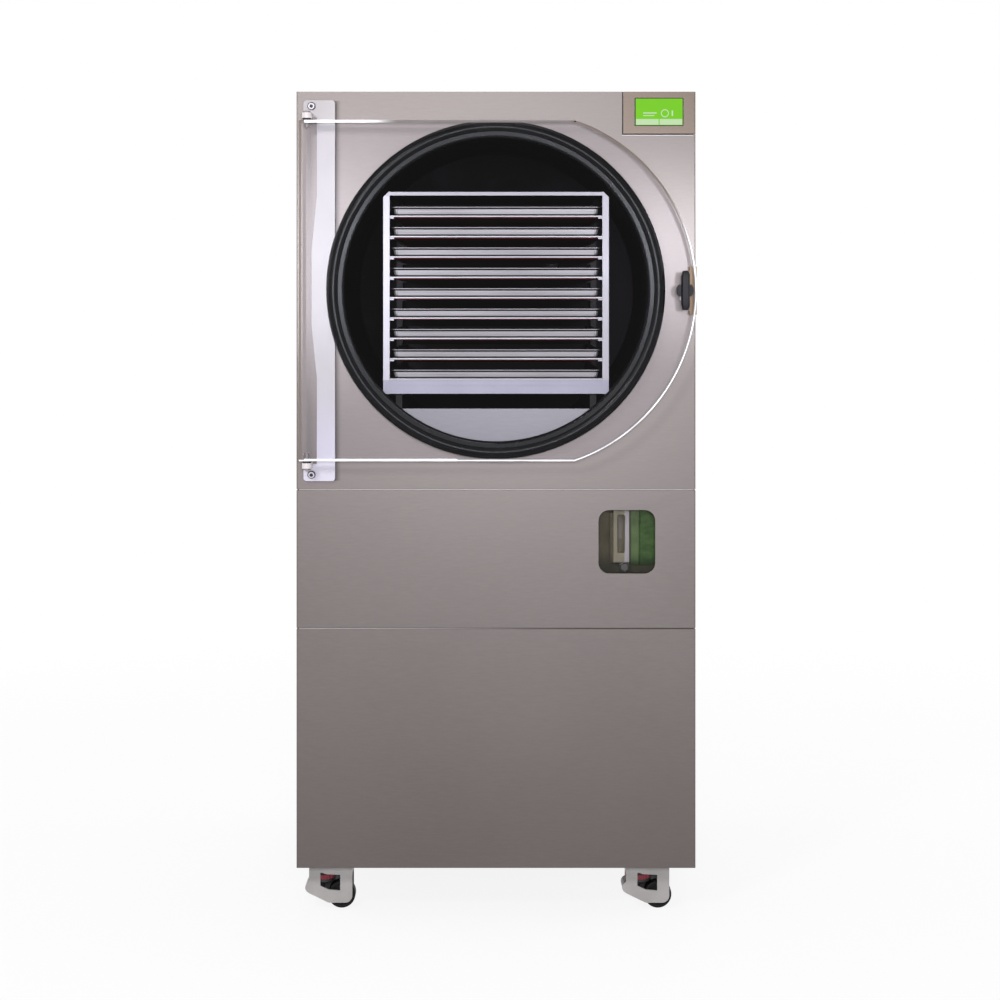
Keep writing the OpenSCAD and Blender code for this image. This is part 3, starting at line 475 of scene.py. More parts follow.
def pinMarks(g, colour):
    # painted shadow: black bands on the pins between the hinge arms and the door
    x, y, z = g.axes()
    low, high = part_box("door")
    thick = 0.0038
    over = (z > high.z) * (z < high.z + thick)
    under = (z < low.z) * (z > low.z - thick)
    return g.mix(over + under, colour, tone(22, 20, 22))


def stripMarks(g, colour):
    # painted light: paler toward the lower end and on the arms that hold the pins
    x, y, z = g.axes()
    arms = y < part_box("hinge_plate")[1].y - 0.012
    strip = g.mix(1 - g.ramp(z, 0.86, 1.03), colour, tone(192, 187, 200))
    return g.mix(arms, strip, tone(206, 198, 198))


def casterMarks(g, colour):
    # painted shade: the room inside each casting is darkened as its own shadow
    x, y, z = g.axes()
    near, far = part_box("caster_body_front_left"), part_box("caster_body_rear_right")
    front, rear = (near[0].y + near[1].y) / 2, (far[0].y + far[1].y) / 2
    depth = abs(y - front).sum("MINIMUM", abs(y - rear))
    reach = x - near[0].x - (x > 0) * (far[0].x - near[0].x)
    room = (depth < 0.0227) * (reach > 0.0153) * (z < 0.0703)
    return g.mix(room, colour, tone(30, 27, 29))


frontSteel = metalFinish("frontSteel", frontSteelLook, frontMarks)
sideSteel = metalFinish("sideSteel", sideSteelLook)
topSteel = metalFinish("topSteel", topSteelLook)
controlPlate = metalFinish("controlPlate", controlLook)
damSteel = metalFinish("damSteel", damLook)
rackSteel = metalFinish("rackSteel", rackLook, rackMarks)
shelfSteel = metalFinish("shelfSteel", shelfLook, paintedChamberShade)
traySteel = metalFinish("traySteel", trayLook, trayMarks)
pinSteel = metalFinish("pinSteel", pinLook)
boltSteel = metalFinish("boltSteel", pinLook, boltMarks)
hingeSteel = metalFinish("hingeSteel", hingePinLook, pinMarks)
strikeMetal = metalFinish("strikeMetal", strikeLook)
copperTube = metalFinish("copperTube", copperLook, portMarks)
brass = metalFinish("brass", brassLook)
framePaint = paintFinish("framePaint", framePaintLook)
hingePaint = paintFinish("hingePaint", hingePaintLook, stripMarks)
casterPaint = paintFinish("casterPaint", casterPaintLook, casterMarks)
handlePlastic = paintFinish("handlePlastic", handleLook)
blackPlastic = paintFinish("blackPlastic", blackPlasticLook)
foam = paintFinish("foam", foamLook)
leverVinyl = paintFinish("leverVinyl", leverLook)
matSilicone = paintFinish("matSilicone", matLook)


def rubberFinish(name, dark, light, rough, shine, dust=None):
    g = material(name)
    grain = g.noise(900, detail=3)
    bloom = g.noise(9, detail=4)
    colour = g.mix(g.ramp(bloom, 0.35, 0.75), dark, light)
    if dust:
        # painted highlight: lighter mottled rubber above this height
        x, y, z = g.axes()
        colour = g.mix(g.ramp(z, dust, dust + 0.03) * g.ramp(bloom, 0.3, 0.6), colour,
                       tone(70, 65, 68))
    return g.surface({"Base Color": colour, "Roughness": rough + (bloom - 0.5) * 0.12,
                      "Specular IOR Level": shine}, grain, 0.0001, 0.2)


# the seal's top carries a painted highlight
sealRubber = rubberFinish("sealRubber", tone(10, 10, 11), tone(18, 18, 20), 0.26, 0.08,
                          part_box("mouth_seal")[1].z - 0.02)
wheelRubber = rubberFinish("wheelRubber", tone(14, 13, 13), tone(26, 24, 24), 0.5, 0.15)
footRubber = rubberFinish("footRubber", tone(30, 30, 32), tone(46, 46, 48), 0.7, 0.2)


def chamberFinish():
    # dark coated steel, a little lighter where frost has dried on the wall, and lighter toward the
    # right as painted light
    g = material("chamberCoat")
    speck = g.noise(700, detail=3)
    dried = g.noise(7, detail=5)
    x, y, z = g.axes()
    frostAndLight = g.ramp(dried, 0.45, 0.8) * 0.6 + g.ramp(x, 0.12, 0.24) * 0.9
    colour = g.mix(frostAndLight.sum("MINIMUM", 1), tone(16, 14, 16), tone(40, 36, 42))
    return g.surface({"Base Color": colour, "Roughness": 0.78 + (dried - 0.5) * 0.1,
                      "Specular IOR Level": 0.05}, speck, 0.0003, 0.2)


def boxFinish():
    # grey housing; the inlet and the switch frame outside the back sheet are black
    g = material("boxPaint")
    x, y, z = g.axes()
    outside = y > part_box("back_panel")[1].y - 0.0005
    look = boxPaintLook
    grain = g.noise(900, detail=2)
    cloud = g.noise(6, detail=3)
    paint = g.mix(g.ramp(cloud, 0.3, 0.7), look["dark"], look["light"])
    colour = g.mix(outside, paint, tone(30, 30, 32))
    return g.surface({"Base Color": colour, "Roughness": 0.45 + (grain - 0.5) * 0.12},
                     grain, 0.0002, 0.3)


def compressorFinish():
    # glossy black can; plate above rubber feet
    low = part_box("compressor")[0].z
    g = material("compressorPaint")
    x, y, z = g.axes()
    feet = z < low + 0.0138
    grain = g.noise(500, detail=2)
    drips = g.noise(12, (1, 1, 0.3), 3)
    paint = g.mix(g.ramp(drips, 0.3, 0.7), blackPaintLook["dark"], blackPaintLook["light"])
    colour = g.mix(feet, paint, tone(60, 58, 56))
    return g.surface({"Base Color": colour, "Roughness": 0.3 + feet * 0.45 + (grain - 0.5) * 0.1},
                     grain, 0.0002, 0.2)


def condenserFinish():
    # aluminium fins and end plates, copper tubes in front of, through and above them
    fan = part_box("fan_frame")
    g = material("condenserMetal")
    x, y, z = g.axes()
    middle = (fan[0].x + fan[1].x) / 2
    inBlock = (abs(x - middle) < 0.1605) * (z < fan[1].z + 0.0005)
    streak = g.noise(160, (1, 1, 0.1), 3)
    dust = g.noise(14, detail=4)
    fins = g.mix(g.ramp(dust, 0.35, 0.75), tone(168, 170, 174), tone(206, 208, 210))
    tubes = g.mix(g.ramp(dust, 0.3, 0.7), copperLook["dark"], copperLook["light"])
    colour = g.mix(inBlock, tubes, fins)
    return g.surface({"Base Color": colour, "Metallic": 0.85,
                      "Roughness": 0.34 + (streak - 0.5) * 0.2}, streak, 0.0001, 0.2)


def pumpFinish():
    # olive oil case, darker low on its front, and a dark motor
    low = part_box("vacuum_pump")[0]
    g = material("pumpPaint")
    x, y, z = g.axes()
    motor = y > low.y + 0.164
    lowDark = (1 - g.ramp(z, 0.64, 0.69)) * (y < low.y + 0.01)
    grain = g.noise(700, detail=2)
    cast = g.noise(18, detail=4)
    paint = g.mix(g.ramp(cast, 0.3, 0.7), pumpPaintLook["dark"], pumpPaintLook["light"])
    body = g.mix(lowDark * 0.8, g.mix(motor, paint, tone(48, 54, 50)), tone(30, 30, 18))
    return g.surface({"Base Color": body, "Roughness": 0.45 + (grain - 0.5) * 0.14,
                      "Specular IOR Level": 0.2}, grain, 0.0003, 0.4)


def nutFinish():
    # red knurled rim above a black rubber band
    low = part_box("caster_thumbwheel_front_left")[0]
    g = material("nutPlastic")
    x, y, z = g.axes()
    band = z < low.z + 0.0056
    grain = g.noise(900, detail=2)
    colour = g.mix(band, g.mix(grain, tone(104, 12, 30), tone(134, 22, 42)), tone(34, 32, 34))
    return g.surface({"Base Color": colour, "Roughness": 0.4 + band * 0.2}, grain, 0.0002, 0.3)


def screenFinish():
    # lit green page with two pale keys below and a plain level bar, behind a glossy lens
    low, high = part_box("display")
    face = {"left": low.x + 0.0053, "right": low.x + 0.0957, "bottom": low.z + 0.0053,
            "top": high.z - 0.0013}
    g = material("screenGlass")
    x, y, z = g.axes()
    u = (x - face["left"]) / (face["right"] - face["left"])
    v = (z - face["bottom"]) / (face["top"] - face["bottom"])

    def patch(u0, u1, v0, v1):
        return (u > u0) * (u < u1) * (v > v0) * (v < v1)

    keys = patch(0.02, 0.49, 0.03, 0.24) + patch(0.51, 0.98, 0.03, 0.24)
    marks = patch(0.17, 0.45, 0.44, 0.48) + patch(0.17, 0.40, 0.35, 0.38)
    ringU, ringV = (u - 0.62) * 1.76, v - 0.45
    ring = ringU * ringU + ringV * ringV
    dial = (ring < 0.021) * (ring > 0.013)
    bar = patch(0.76, 0.79, 0.35, 0.55)
    pale = keys * 0.75 + (marks + dial + bar) * 0.85
    front = (y < low.y + 0.001) * patch(0.012, 0.988, 0.015, 0.985)
    shimmer = g.noise(30, detail=2)
    green = g.mix(shimmer, tone(110, 204, 2), tone(126, 208, 12))
    page = g.mix(pale, green, tone(214, 232, 202))
    glow = g.mix(front, (0, 0, 0, 1), page)
    return g.surface({"Base Color": g.mix(front, tone(28, 28, 30), tone(8, 14, 4)),
                      "Roughness": 0.3 + front * 0.1, "Emission Color": glow,
                      "Emission Strength": 0.95, "Specular IOR Level": 0.1},
                     shimmer, 0.00002, 0.1)


def clearFinish(name, look):
    # clear faces: straight through with a faint painted glow that makes them look hazy, and glossy
    # where seen at a low angle
    g = material(name)
    mirror = g.node("BsdfPrincipled", {}, {"Base Color": (1, 1, 1, 1), "Metallic": 1.0,
                                           "Roughness": 0.04})
    through = g.node("BsdfTransparent", {}, {"Color": look["tint"]})
    haze = g.node("Emission", {}, {"Color": (1, 1, 1, 1), "Strength": look["haze"]})
    clear = g.node("AddShader", {}, {0: through, 1: haze})
    outer = 1 - g.node("NewGeometry", out="Backfacing")
    share = (g.node("Fresnel", {}, {"IOR": 1.49}) - 0.07) * 0.9 * outer
    seen = g.node("MixShader", {}, {0: share, 1: clear, 2: mirror})
    shadow = g.node("LightPath", out="Is Shadow Ray")
    g.close(g.node("MixShader", {}, {0: shadow, 1: seen, 2: through}))
    return g.owner


def rimFinish(name, look, marks=None):
    # the sawn and polished edge of a clear sheet, with a painted glow for the light it gathers
    g = material(name)
    saw = g.noise(look["saw"], detail=3)
    colour = g.mix(saw, look["dark"], look["light"])
    glow = g.mix(g.ramp(saw, 0.35, 0.65), look["faint"], look["glow"])
    if marks:
        colour, glow = marks(g, look, colour, glow)
    return g.surface({"Base Color": colour, "Roughness": 0.2 + (saw - 0.5) * 0.15,
                      "Alpha": look["alpha"], "Emission Color": glow, "Emission Strength": 1.0},
                     saw, 0.0002, 0.2)


def doorRimMarks(g, look, colour, glow):
    # painted light: the outer part of the bevel glows below and at the upper left, the inner part
    # only dimly; painted shade darkens the upper arc and the hinge side, and the top edge goes
    # plain toward the right
    x, y, z = g.axes()
    low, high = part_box("door")
    middle, radius = (low.z + high.z) / 2, look["arc"]
    across, up = x - (high.x - radius), z - middle
    reach = (across * across + up * up).sum("POWER", 0.5)
    inner = (z > low.z + look["band"]) * (reach < radius - look["band"])
    arc = g.ramp(z, middle + 0.045, middle + 0.185) * (x > look["side"])
    top = g.ramp(x, -0.26, -0.18) * (z > high.z - 0.012) * (x < look["side"])
    hinged = (x < low.x + 0.01) * (z > low.z + look["band"])
    colour = g.mix(top, g.mix(inner, colour, look["pale"]), look["plain"])
    colour = g.mix((arc + hinged).sum("MINIMUM", 1), colour, look["shade"])
    lit = g.mix(inner, glow, look["dim"])
    return colour, g.mix((arc + top + hinged).sum("MINIMUM", 1), lit, (0, 0, 0, 1))


doorLook = {"tint": tone(253, 253, 254), "haze": 0.003}
# glow, faint and dim are painted light on the rim; shade is painted shade
doorRimLook = {"dark": tone(226, 226, 232), "light": tone(248, 246, 252), "alpha": 0.92,
               "glow": tone(236, 232, 238), "faint": tone(120, 118, 122), "saw": 14,
               "shade": tone(116, 103, 95), "plain": tone(120, 113, 112), "side": 0.14,
               "pale": tone(128, 123, 124), "dim": tone(24, 23, 24), "band": 0.0028, "arc": 0.335}
paneLook = {"tint": tone(248, 248, 245), "haze": 0.003}
# the pane rim glows with painted light too
paneRimLook = {"dark": tone(150, 156, 138), "light": tone(184, 190, 170), "alpha": 0.95,
               "glow": tone(60, 64, 54), "faint": tone(40, 42, 36), "saw": 200}

chamberCoat = chamberFinish()
boxPaint = boxFinish()
compressorPaint = compressorFinish()
condenserMetal = condenserFinish()
pumpPaint = pumpFinish()
nutPlastic = nutFinish()
screenGlass = screenFinish()
doorClear = clearFinish("doorClear", doorLook)
doorRim = rimFinish("doorRim", doorRimLook, doorRimMarks)
paneClear = clearFinish("paneClear", paneLook)
paneRim = rimFinish("paneRim", paneRimLook)
print("finishes ready")


# Sheet metal, painted and turned parts: the CAD solids with rounded edges

dressed = [
    ("lower_front_panel", "front_steel", frontSteel, 0.0006),
    ("middle_front_panel", "front_steel", frontSteel, 0.0006),
    ("upper_front_panel", "front_steel", frontSteel, 0.0006),
    ("left_side_panel", "side_steel", sideSteel, 0.0005),
    ("right_side_panel", "side_steel", sideSteel, 0.0005),
    ("top_panel", "side_steel", topSteel, 0.0005),
    ("control_panel", "control_plate", controlPlate, 0.0005),
    ("hinge_plate", "hinge_white", hingePaint, 0.0012),
    ("hinge_pins", "pin_steel", hingeSteel, 0.0006),
    ("latch_keeper", "strike_metal", strikeMetal, 0.0006),
    ("latch_tongue", "pin_steel", pinSteel, 0.0006),
    ("drip_dam", "dam_steel", damSteel, 0.0005),
    ("rack_frame", "rack_steel", rackSteel, 0.0012),
    ("rack_shelves", "rack_steel", shelfSteel, 0.0006),
    ("drain_valve", "brass", brass, 0.0005),
    ("drain_lever", "lever_red", leverVinyl, 0.0008),
    ("power_switch", "black_plastic", blackPlastic, 0.0005),
    ("vacuum_pump", "pump_paint", pumpPaint, 0.0015),
    ("electronics_box", "box_paint", boxPaint, 0.0006),
    ("compressor", "black_paint", compressorPaint, 0.001),
    ("screws", "pin_steel", boltSteel, 0.0002),
]
for node, slot, finish, width in dressed:
    dress(node, finish, width)
for corner in corners:
    dress("caster_body_" + corner, casterPaint, 0.0012)
    dress("caster_wheel_" + corner, wheelRubber, 0.0005)
    dress("caster_thumbwheel_" + corner, nutPlastic, 0.0005)
print("solids dressed")

# Solids that keep their own mesh
kept = {
    "base_pan": framePaint, "frame": framePaint, "back_panel": sideSteel,
    "chamber_vessel": chamberCoat, "chamber_insulation": foam, "mouth_seal": sealRubber,
    "condenser": condenserMetal, "fan_frame": blackPlastic, "fan_blade": blackPlastic,
    "vacuum_hose": copperTube, "display": screenGlass,
}
for corner in corners:
    kept["caster_foot_" + corner] = footRubber
for node, finish in kept.items():
    nodes[node].data.materials.clear()
    nodes[node].data.materials.append(finish)


# Bent sheet edges that show in the seams as lines of painted highlight, and a black strip of
# painted shade round the control plate

def seamMarks(g, colour):
    # painted shade: the lower edge fades darker toward the right
    x, y, z = g.axes()
    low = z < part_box("middle_front_panel")[0].z + 0.05
    shadeFade = g.ramp(x, -0.3, 0.2) * low
    return g.mix(shadeFade, colour, tone(62, 56, 52))


# a lighter copy of the front steel: painted highlight on the bent edges
seamLitSteel = metalFinish("seamLitSteel", dict(frontSteelLook, dark=tone(142, 136, 134),
                                          light=tone(150, 144, 142)), seamMarks)


def makeTrim():
    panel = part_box("middle_front_panel")
    side = panel[1].x - 0.0045
    for name, seam in (("lowSeamEdge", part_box("lower_front_panel")[1].z),
                       ("highSeamEdge", panel[1].z)):
        strip = block(name, (-side, panel[0].y + 0.0001, seam + 0.0002),
                      (side, panel[0].y + 0.0014, seam + 0.0018))
        roundEdges(strip, 0.0002, 1)
        smooth(strip)
        attach(strip, "cabinet", seamLitSteel)
    low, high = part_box("control_panel")
    face = low.y
    bead = 0.0021
    # painted shade: a black strip along the gap at the left of and under the control plate
    left = block("gapShadeLeft", (low.x - bead, face - 0.0002, low.z - bead),
                 (low.x, face + 0.0008, high.z - 0.0006))
    under = block("gapShadeUnder", (low.x, face - 0.0002, low.z - bead),
                  (high.x - 0.0045, face + 0.0008, low.z))
    gapShade = join("controlGapShade", [left, under])
    smooth(gapShade)
    attach(gapShade, "cabinet", sealRubber)
    # painted highlight: a light line under the control plate
    lip = block("controlLip", (low.x - bead, face - 0.0004, low.z - bead - 0.0017),
                (high.x - 0.0045, face + 0.0008, low.z - bead))
    roundEdges(lip, 0.0002, 1)
    smooth(lip)
    attach(lip, "cabinet", seamLitSteel)


makeTrim()
print("trim ready")


# Clear door and pump window

doorShape = {"bevel": 0.0046, "clear": 0.02, "turn": 0.7, "bore": 0.006}


def rimmed(piece, rim, axes=(), reach=0):
    # bore walls near the given upright axes stay as clear as the faces
    low, high = piece.bound_box[0], piece.bound_box[6]
    piece.data.materials.append(rim)
    for face in piece.data.polygons:
        bored = any(abs(face.center.x - axis) < reach for axis in axes) \
            and low[2] + 0.0005 < face.center.z < high[2] - 0.0005
        face.material_index = 0 if abs(face.normal.y) > 0.97 or bored else 1


def makeDoor():
    # only the outline of the front face is bevelled, not the bores
    s = doorShape
    piece = dress("door", doorClear)
    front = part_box("door")[0].y
    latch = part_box("latch_handle")
    centre = (latch[0] + latch[1]) / 2
    edit(piece, "EDGE")
    mesh = bmesh.from_edit_mesh(piece.data)
    for edge in mesh.edges:
        ends = [vert.co for vert in edge.verts]
        outline = all(end.y < front + 0.0001 and math.hypot(end.x - centre.x, end.z - centre.z)
                      > s["clear"] for end in ends)
        edge.select_set(outline and edge.calc_face_angle(0) > s["turn"])
    bmesh.update_edit_mesh(piece.data)
    bpy.ops.mesh.bevel(offset=s["bevel"], segments=2, affect="EDGES", clamp_overlap=False)
    settle()
    smooth(piece)
    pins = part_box("hinge_pins")
    rimmed(piece, doorRim, ((pins[0].x + pins[1].x) / 2,), s["bore"])


makeDoor()
rimmed(dress("window_pane", paneClear, 0.0006), paneRim)
print("clear sheets ready")


# Trays: one pan pressed from thin sheet, then a copy on every shelf

trayShape = {"draft": 0.0035, "corner": 0.007, "bend": 0.003, "rim": 0.004, "lip": 0.0022,
             "wall": 0.001}


def makeTray():
    s = trayShape
    low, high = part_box("tray_1")
    top = high.z - s["wall"]
    middle = Vector(((low.x + high.x) / 2, (low.y + high.y) / 2, top))
    wide, deep = high.x - low.x - 2 * s["rim"], high.y - low.y - 2 * s["rim"]
    piece = block("tray1Pan", (low.x + s["rim"], low.y + s["rim"], low.z),
                  (high.x - s["rim"], high.y - s["rim"], top))
    edit(piece)
    pickFaces(piece, lambda c, n: n.z > 0.9)
    bpy.ops.mesh.delete(type="ONLY_FACE")
    pickFaces(piece, lambda c, n: n.z < -0.9)
    bpy.ops.transform.resize(
        value=(1 - 2 * s["draft"] / wide, 1 - 2 * s["draft"] / deep, 1),
        center_override=(middle.x, middle.y, low.z))
    pickEdges(piece, lambda a, b: abs(a.z - b.z) > 0.005)
    bpy.ops.mesh.bevel(offset=s["corner"], segments=5, affect="EDGES")
    pickEdges(piece, lambda a, b: a.z < low.z + 0.0001 and b.z < low.z + 0.0001)
    bpy.ops.mesh.bevel(offset=s["bend"], segments=3, affect="EDGES")
    pickEdges(piece, lambda a, b: min(a.z, b.z) > top - 0.0001)
    bpy.ops.mesh.extrude_edges_move()
    bpy.ops.transform.resize(value=(1 + 2 * s["rim"] / wide, 1 + 2 * s["rim"] / deep, 1),
                             center_override=middle)
    bpy.ops.mesh.extrude_edges_move(TRANSFORM_OT_translate={"value": (0, 0, -s["lip"])})
    bpy.ops.mesh.select_all(action="SELECT")
    bpy.ops.mesh.normals_make_consistent(inside=False)
    settle()
    modify(piece, "SOLIDIFY", thickness=s["wall"], offset=-1)
    roundEdges(piece, 0.0003, 1, 50)
    smooth(piece, 30)
    return piece


firstTray = makeTray()
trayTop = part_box("tray_1")[1].z
trays = [firstTray]
for number in range(2, 10):
    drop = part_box(f"tray_{number}")[1].z - trayTop
    trays.append(twin(firstTray, f"tray{number}Pan", (0, 0, drop)))
for number, tray in enumerate(trays, 1):
    attach(tray, "cabinet", traySteel, [f"tray_{number}"])
print("trays ready")


# Heater mats glued under the shelves

matShape = {"side": 0.008, "front": 0.009, "back": 0.03, "thick": 0.0016, "border": 0.01}


def makeMats():
    s = matShape
    low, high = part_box("rack_shelves")
    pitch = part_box("tray_1")[1].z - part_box("tray_2")[1].z
    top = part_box("tray_1")[0].z - 0.003
    piece = block("heaterMat1", (low.x + s["side"], low.y + s["front"], top - s["thick"]),
                  (high.x - s["side"], high.y - s["back"], top))
    edit(piece)
    pickEdges(piece, lambda a, b: abs(a.z - b.z) > 0.001)
    bpy.ops.mesh.bevel(offset=0.012, segments=4, affect="EDGES")
    pickFaces(piece, lambda c, n: n.z < -0.9)
    bpy.ops.mesh.inset(thickness=s["border"], depth=0)
    bpy.ops.mesh.inset(thickness=0.0008, depth=-0.0004)
    settle()
    roundEdges(piece, 0.0004, 1, 50)
    smooth(piece)
    mats = [piece] + [twin(piece, f"heaterMat{n}", (0, 0, -pitch * (n - 1))) for n in range(2, 10)]
    for mat in mats:
        attach(mat, "cabinet", matSilicone)


makeMats()
print("heater mats ready")


# T-handle: tapered bar on a scalloped hub with its shaft through the door

handleShape = {"bar": 0.016, "taper": 0.011, "hub": 0.0155, "flat": 0.011, "ribs": 28,
               "hubBack": -0.4438, "shaftFront": -0.4445, "collar": (-0.4439, -0.4428)}


def makeHandle():
    s = handleShape
    low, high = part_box("latch_handle")
    x, z = (low.x + high.x) / 2, (low.z + high.z) / 2
    bar = block("handleBar", (x - 0.008, low.y, low.z), (x + 0.008, low.y + s["bar"], high.z))
    edit(bar)
    for height in (low.z + s["taper"], high.z - s["taper"], z - 0.008, z + 0.008):
        bpy.ops.mesh.select_all(action="SELECT")
        bpy.ops.mesh.bisect(plane_co=(x, low.y, height), plane_no=(0, 0, 1))
    for end in (low.z, high.z):
        pickFaces(bar, lambda c, n: abs(c.z - end) < 0.0001)
        bpy.ops.transform.resize(value=(0.66, 0.8, 1),
                                 center_override=(x, low.y + s["bar"] / 2, end))
    pickFaces(bar, lambda c, n: n.y < -0.5 and abs(c.z - z) > 0.009 and abs(c.z - z) < 0.03)
    bpy.ops.transform.resize(value=(0.86, 1, 1), center_override=(x, low.y, z))
    settle()
    roundEdges(bar, 0.0022, 3, 25)
    hub = rod("handleHub", s["hub"], (x, low.y + 0.0125, z), (x, s["hubBack"], z), s["ribs"] * 2)
    edit(hub)
    step = math.pi / s["ribs"]

    def isRib(centre, normal):
        turn = math.atan2(centre.z - z, centre.x - x)
        return abs(normal.y) < 0.5 and round((turn - step / 2) / step) % 2 == 0
    pickFaces(hub, isRib)
    bpy.ops.mesh.inset(thickness=0.0004, depth=-0.0009, use_individual=True)
    for side in (-1, 1):
        bpy.ops.mesh.select_all(action="SELECT")
        bpy.ops.mesh.bisect(plane_co=(x, 0, z + side * s["flat"]), plane_no=(0, 0, side),
                            clear_outer=True, use_fill=True)
    settle()
    front, back = s["collar"]
    shaft = rod("handleShaft", 0.005, (x, s["shaftFront"], z), (x, high.y, z), 48)
    collar = rod("handleCollar", 0.009, (x, front, z), (x, back, z), 48)
    piece = join("latchGrip", [bar, hub, shaft, collar])
    smooth(piece)
    return attach(piece, "latch", handlePlastic, ["latch_handle"])


makeHandle()
print("handle ready")


# What shows through the pump window: sight glass, level oil, label plate and drain plug

sightShape = {"left": 0.2220, "right": 0.2540, "low": 0.6560, "high": 0.7600, "face": -0.3352,
              "slotLeft": 0.2310, "slotRight": 0.2430, "slotLow": 0.6810, "slotHigh": 0.7480,
              "plug": 0.2440}
plateShape = {"left": 0.2556, "right": 0.3045, "low": 0.6530, "high": 0.7590, "fold": 0.2720}


def sightMarks(g, colour):
    # painted light: the right side of the frame is the brighter one; the plug and the frame's
    # lower edge are darker
    x, y, z = g.axes()
    side = g.mix(g.ramp(x, sightShape["slotRight"], sightShape["slotRight"] + 0.002),
                 colour, tone(140, 134, 144))
    return g.mix(z < sightShape["low"] + 0.004, side, tone(78, 74, 78))


sightMetal = metalFinish("sightMetal", dict(pinLook, dark=tone(104, 97, 86),
                                            light=tone(120, 112, 102), metal=0.4), sightMarks)


def oilFinish():
    g = material("sightOil")
    x, y, z = g.axes()
    oil = g.ramp(z, 0.7035, 0.7045)
    swirl = g.noise(60, (1, 1, 0.4), 3)
    low = g.mix(swirl, tone(74, 66, 56), tone(88, 80, 70))
    high = g.mix(swirl, tone(88, 80, 84), tone(104, 96, 100))
    return g.surface({"Base Color": g.mix(oil, low, high), "Roughness": 0.1,
                      "Coat Weight": 0.6}, swirl, 0.0002, 0.1)


def labelFinish():
    # plain green enamel plate, faintly mottled; painted light makes its narrow left face lighter
    # and painted shade darkens its lower edge
    g = material("labelEnamel")
    x, y, z = g.axes()
    patch = g.noise(40, (1, 1, 1.6), 4)
    left = x < plateShape["fold"]
    field = g.mix(g.ramp(patch, 0.35, 0.7), tone(44, 74, 32), tone(72, 102, 52))
    strip = g.mix(g.ramp(patch, 0.3, 0.8), tone(82, 100, 66), tone(96, 114, 78))
    shade = g.ramp(z, plateShape["low"], plateShape["low"] + 0.02)
    colour = g.mix(left, field, strip)
    return g.surface({"Base Color": g.mix(shade, tone(26, 50, 20), colour), "Roughness": 0.32,
                      "Specular IOR Level": 0.15}, patch, 0.0002, 0.15)


def makeSight():
    s = sightShape
    plate = block("sightFrame", (s["left"], s["face"], s["low"]), (s["right"], -0.3255, s["high"]))
    edit(plate)
    pickFaces(plate, lambda c, n: n.y < -0.9)
    bpy.ops.mesh.inset(thickness=0.009, depth=0)
    bpy.ops.transform.translate(value=(0, 0, 0.0045))
    bpy.ops.transform.resize(value=(0.86, 1, 0.82),
                             center_override=((s["left"] + s["right"]) / 2, 0, 0.7145))
    bpy.ops.mesh.inset(thickness=0.0006, depth=-0.0050)
    settle()
    roundEdges(plate, 0.0022, 3, 30)
    smooth(plate)
    attach(plate, "cabinet", sightMetal)
    glass = block("sightGlass", (s["slotLeft"] - 0.0005, -0.3325, s["slotLow"] - 0.004),
                  (s["slotRight"] + 0.0005, -0.3300, s["slotHigh"] + 0.004))
    roundEdges(glass, 0.0008, 2)
    smooth(glass)
    attach(glass, "cabinet", oilFinish())
    p = plateShape
    label = block("pumpPlate", (p["left"], -0.3275, p["low"]), (p["right"], -0.3245, p["high"]))
    edit(label)
    bpy.ops.mesh.select_all(action="SELECT")
    bpy.ops.mesh.bisect(plane_co=(p["fold"], 0, 0), plane_no=(1, 0, 0))
    bpy.ops.mesh.select_all(action="SELECT")
    bpy.ops.mesh.bisect(plane_co=(p["fold"] + 0.0022, 0, 0), plane_no=(1, 0, 0))
    pickFaces(label, lambda c, n: n.y < -0.9 and p["fold"] < c.x < p["fold"] + 0.0022)
    bpy.ops.mesh.inset(thickness=0.0002, depth=-0.0016)
    settle()
    roundEdges(label, 0.0006, 2)
    smooth(label)
    attach(label, "cabinet", labelFinish())
    plug = rod("drainPlug", 0.0115, (s["plug"], -0.3345, 0.65), (s["plug"], -0.3240, 0.65), 6)
    edit(plug)
    pickFaces(plug, lambda c, n: n.y < -0.9)
    bpy.ops.mesh.inset(thickness=0.0022, depth=0.0012)
    bpy.ops.mesh.inset(thickness=0.0015, depth=-0.0020)
    settle()
    roundEdges(plug, 0.0005, 2, 30)
    smooth(plug)
    attach(plug, "cabinet", sightMetal)


makeSight()
print("pump front ready")


# Studio: pale floor, white surroundings, soft lamps and the camera

studioLook = {"fill": 0.32, "floor": tone(240, 240, 241), "floorWhite": 0.88}


def makeWorld():
    world = bpy.data.worlds.new("studio")
    bpy.context.scene.world = world
    g = Graph(world)
    path = g.node("LightPath", out="Is Camera Ray")
    seen = (path + path.out("Is Glossy Ray") + path.out("Is Transmission Ray")).sum("MINIMUM", 1)
    strength = studioLook["fill"] + seen * (1 - studioLook["fill"])
    g.close(g.node("Background", {}, {"Color": (1, 1, 1, 1), "Strength": strength}))


def makeFloor():
    settle()
    bpy.ops.mesh.primitive_plane_add(size=30, location=(0, 0, 0))
    floor = bpy.context.object
    floor.name = "floor"
    g = material("floorPale")
    paper = g.noise(50, detail=3)
    colour = g.mix(paper, studioLook["floor"], tone(244, 244, 245))
    matt = g.node("BsdfDiffuse", {}, {"Color": colour})
    white = g.node("Emission", {}, {"Color": (1, 1, 1, 1), "Strength": 1.0})
    path = g.node("LightPath", out="Is Camera Ray")
    seen = (path + path.out("Is Glossy Ray") + path.out("Is Transmission Ray")).sum("MINIMUM", 1)
    reach = g.node("VectorMath", {"operation": "LENGTH"}, {0: g.place()}, out="Value")
    far = g.ramp(reach, 1.2, 3.5)
    share = seen * (studioLook["floorWhite"] + far * (1 - studioLook["floorWhite"]))
    g.close(g.node("MixShader", {}, {0: share, 1: matt, 2: white}))
    floor.data.materials.append(g.owner)


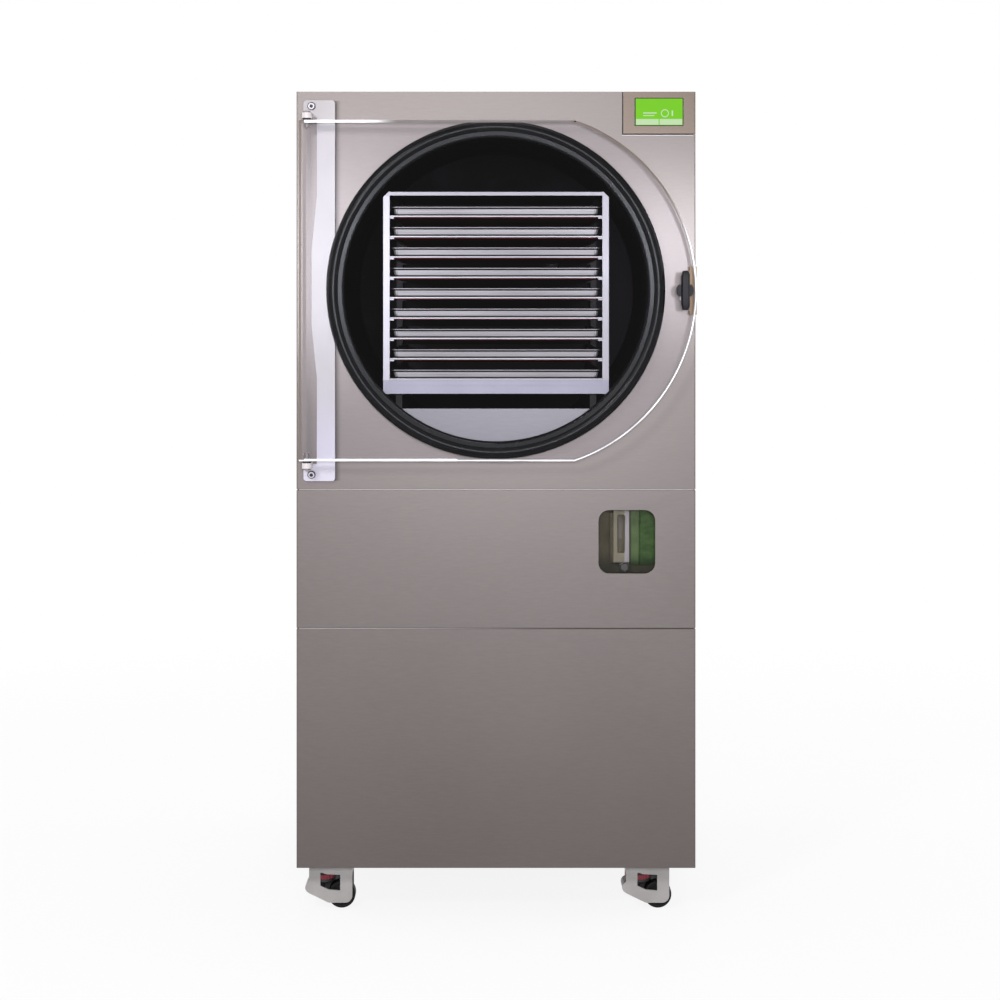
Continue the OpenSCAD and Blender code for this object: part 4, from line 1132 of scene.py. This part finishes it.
lamps = {
    "key": {"place": (-1.25, -3.3, 2.35), "aim": (0, -0.3, 1.2), "size": (0.5, 0.5), "power": 50},
    "glow": {"place": (0.1, -4.7, 1.36), "aim": (0.1, -0.4, 1.2), "size": (0.6, 0.6), "power": 84,
             "tint": (0.92, 0.94, 1.0)},
    "leftSpot": {"place": (-0.68, -4.7, 1.32), "aim": (-0.345, -0.385, 1.23), "cone": 7,
                 "soft": 0.1, "power": 320, "tint": (0.88, 0.93, 1.0)},
    "rightSpot": {"place": (0.67, -4.7, 1.32), "aim": (0.345, -0.385, 1.25), "cone": 5,
                  "soft": 0.1, "power": 380, "tint": (0.9, 0.95, 1.0)},
    "rightSide": {"place": (3.2, 0.6, 2.0), "aim": (0.2, 0, 0.9), "size": (2, 2), "power": 34},
    "leftSide": {"place": (-3.2, 0.4, 2.0), "aim": (-0.2, 0, 0.9), "size": (2, 2), "power": 26},
    "back": {"place": (0.4, 3.4, 2.2), "aim": (0, 0.3, 0.9), "size": (2, 1.5), "power": 34},
    "above": {"place": (0, 0.4, 3.6), "aim": (0, 0, 1.2), "size": (2, 2), "power": 24},
}


def makeLamps():
    for name, lamp in lamps.items():
        if "cone" in lamp:
            data = bpy.data.lights.new(name, "SPOT")
            data.spot_size = math.radians(lamp["cone"])
            data.spot_blend = 1.0
            data.shadow_soft_size = lamp["soft"]
        else:
            data = bpy.data.lights.new(name, "AREA")
            data.shape = "RECTANGLE"
            data.size, data.size_y = lamp["size"]
        data.energy = lamp["power"]
        data.color = lamp.get("tint", (1, 1, 1))
        light = bpy.data.objects.new(name, data)
        light.location = lamp["place"]
        way = Vector(lamp["aim"]) - Vector(lamp["place"])
        light.rotation_euler = way.to_track_quat("-Z", "Y").to_euler()
        bpy.context.collection.objects.link(light)


cameraView = {"place": (0.0075, -4.885, 1.15), "lens": 86.2, "shift": -0.196}


def makeCamera():
    data = bpy.data.cameras.new("camera")
    data.lens = cameraView["lens"]
    data.sensor_width = 36
    data.shift_y = cameraView["shift"]
    camera = bpy.data.objects.new("camera", data)
    camera.location = cameraView["place"]
    camera.rotation_euler = (math.pi / 2, 0, 0)
    bpy.context.collection.objects.link(camera)
    bpy.context.scene.camera = camera


makeWorld()
makeFloor()
makeLamps()
makeCamera()
bpy.context.scene.view_settings.view_transform = "Standard"
print("studio ready")
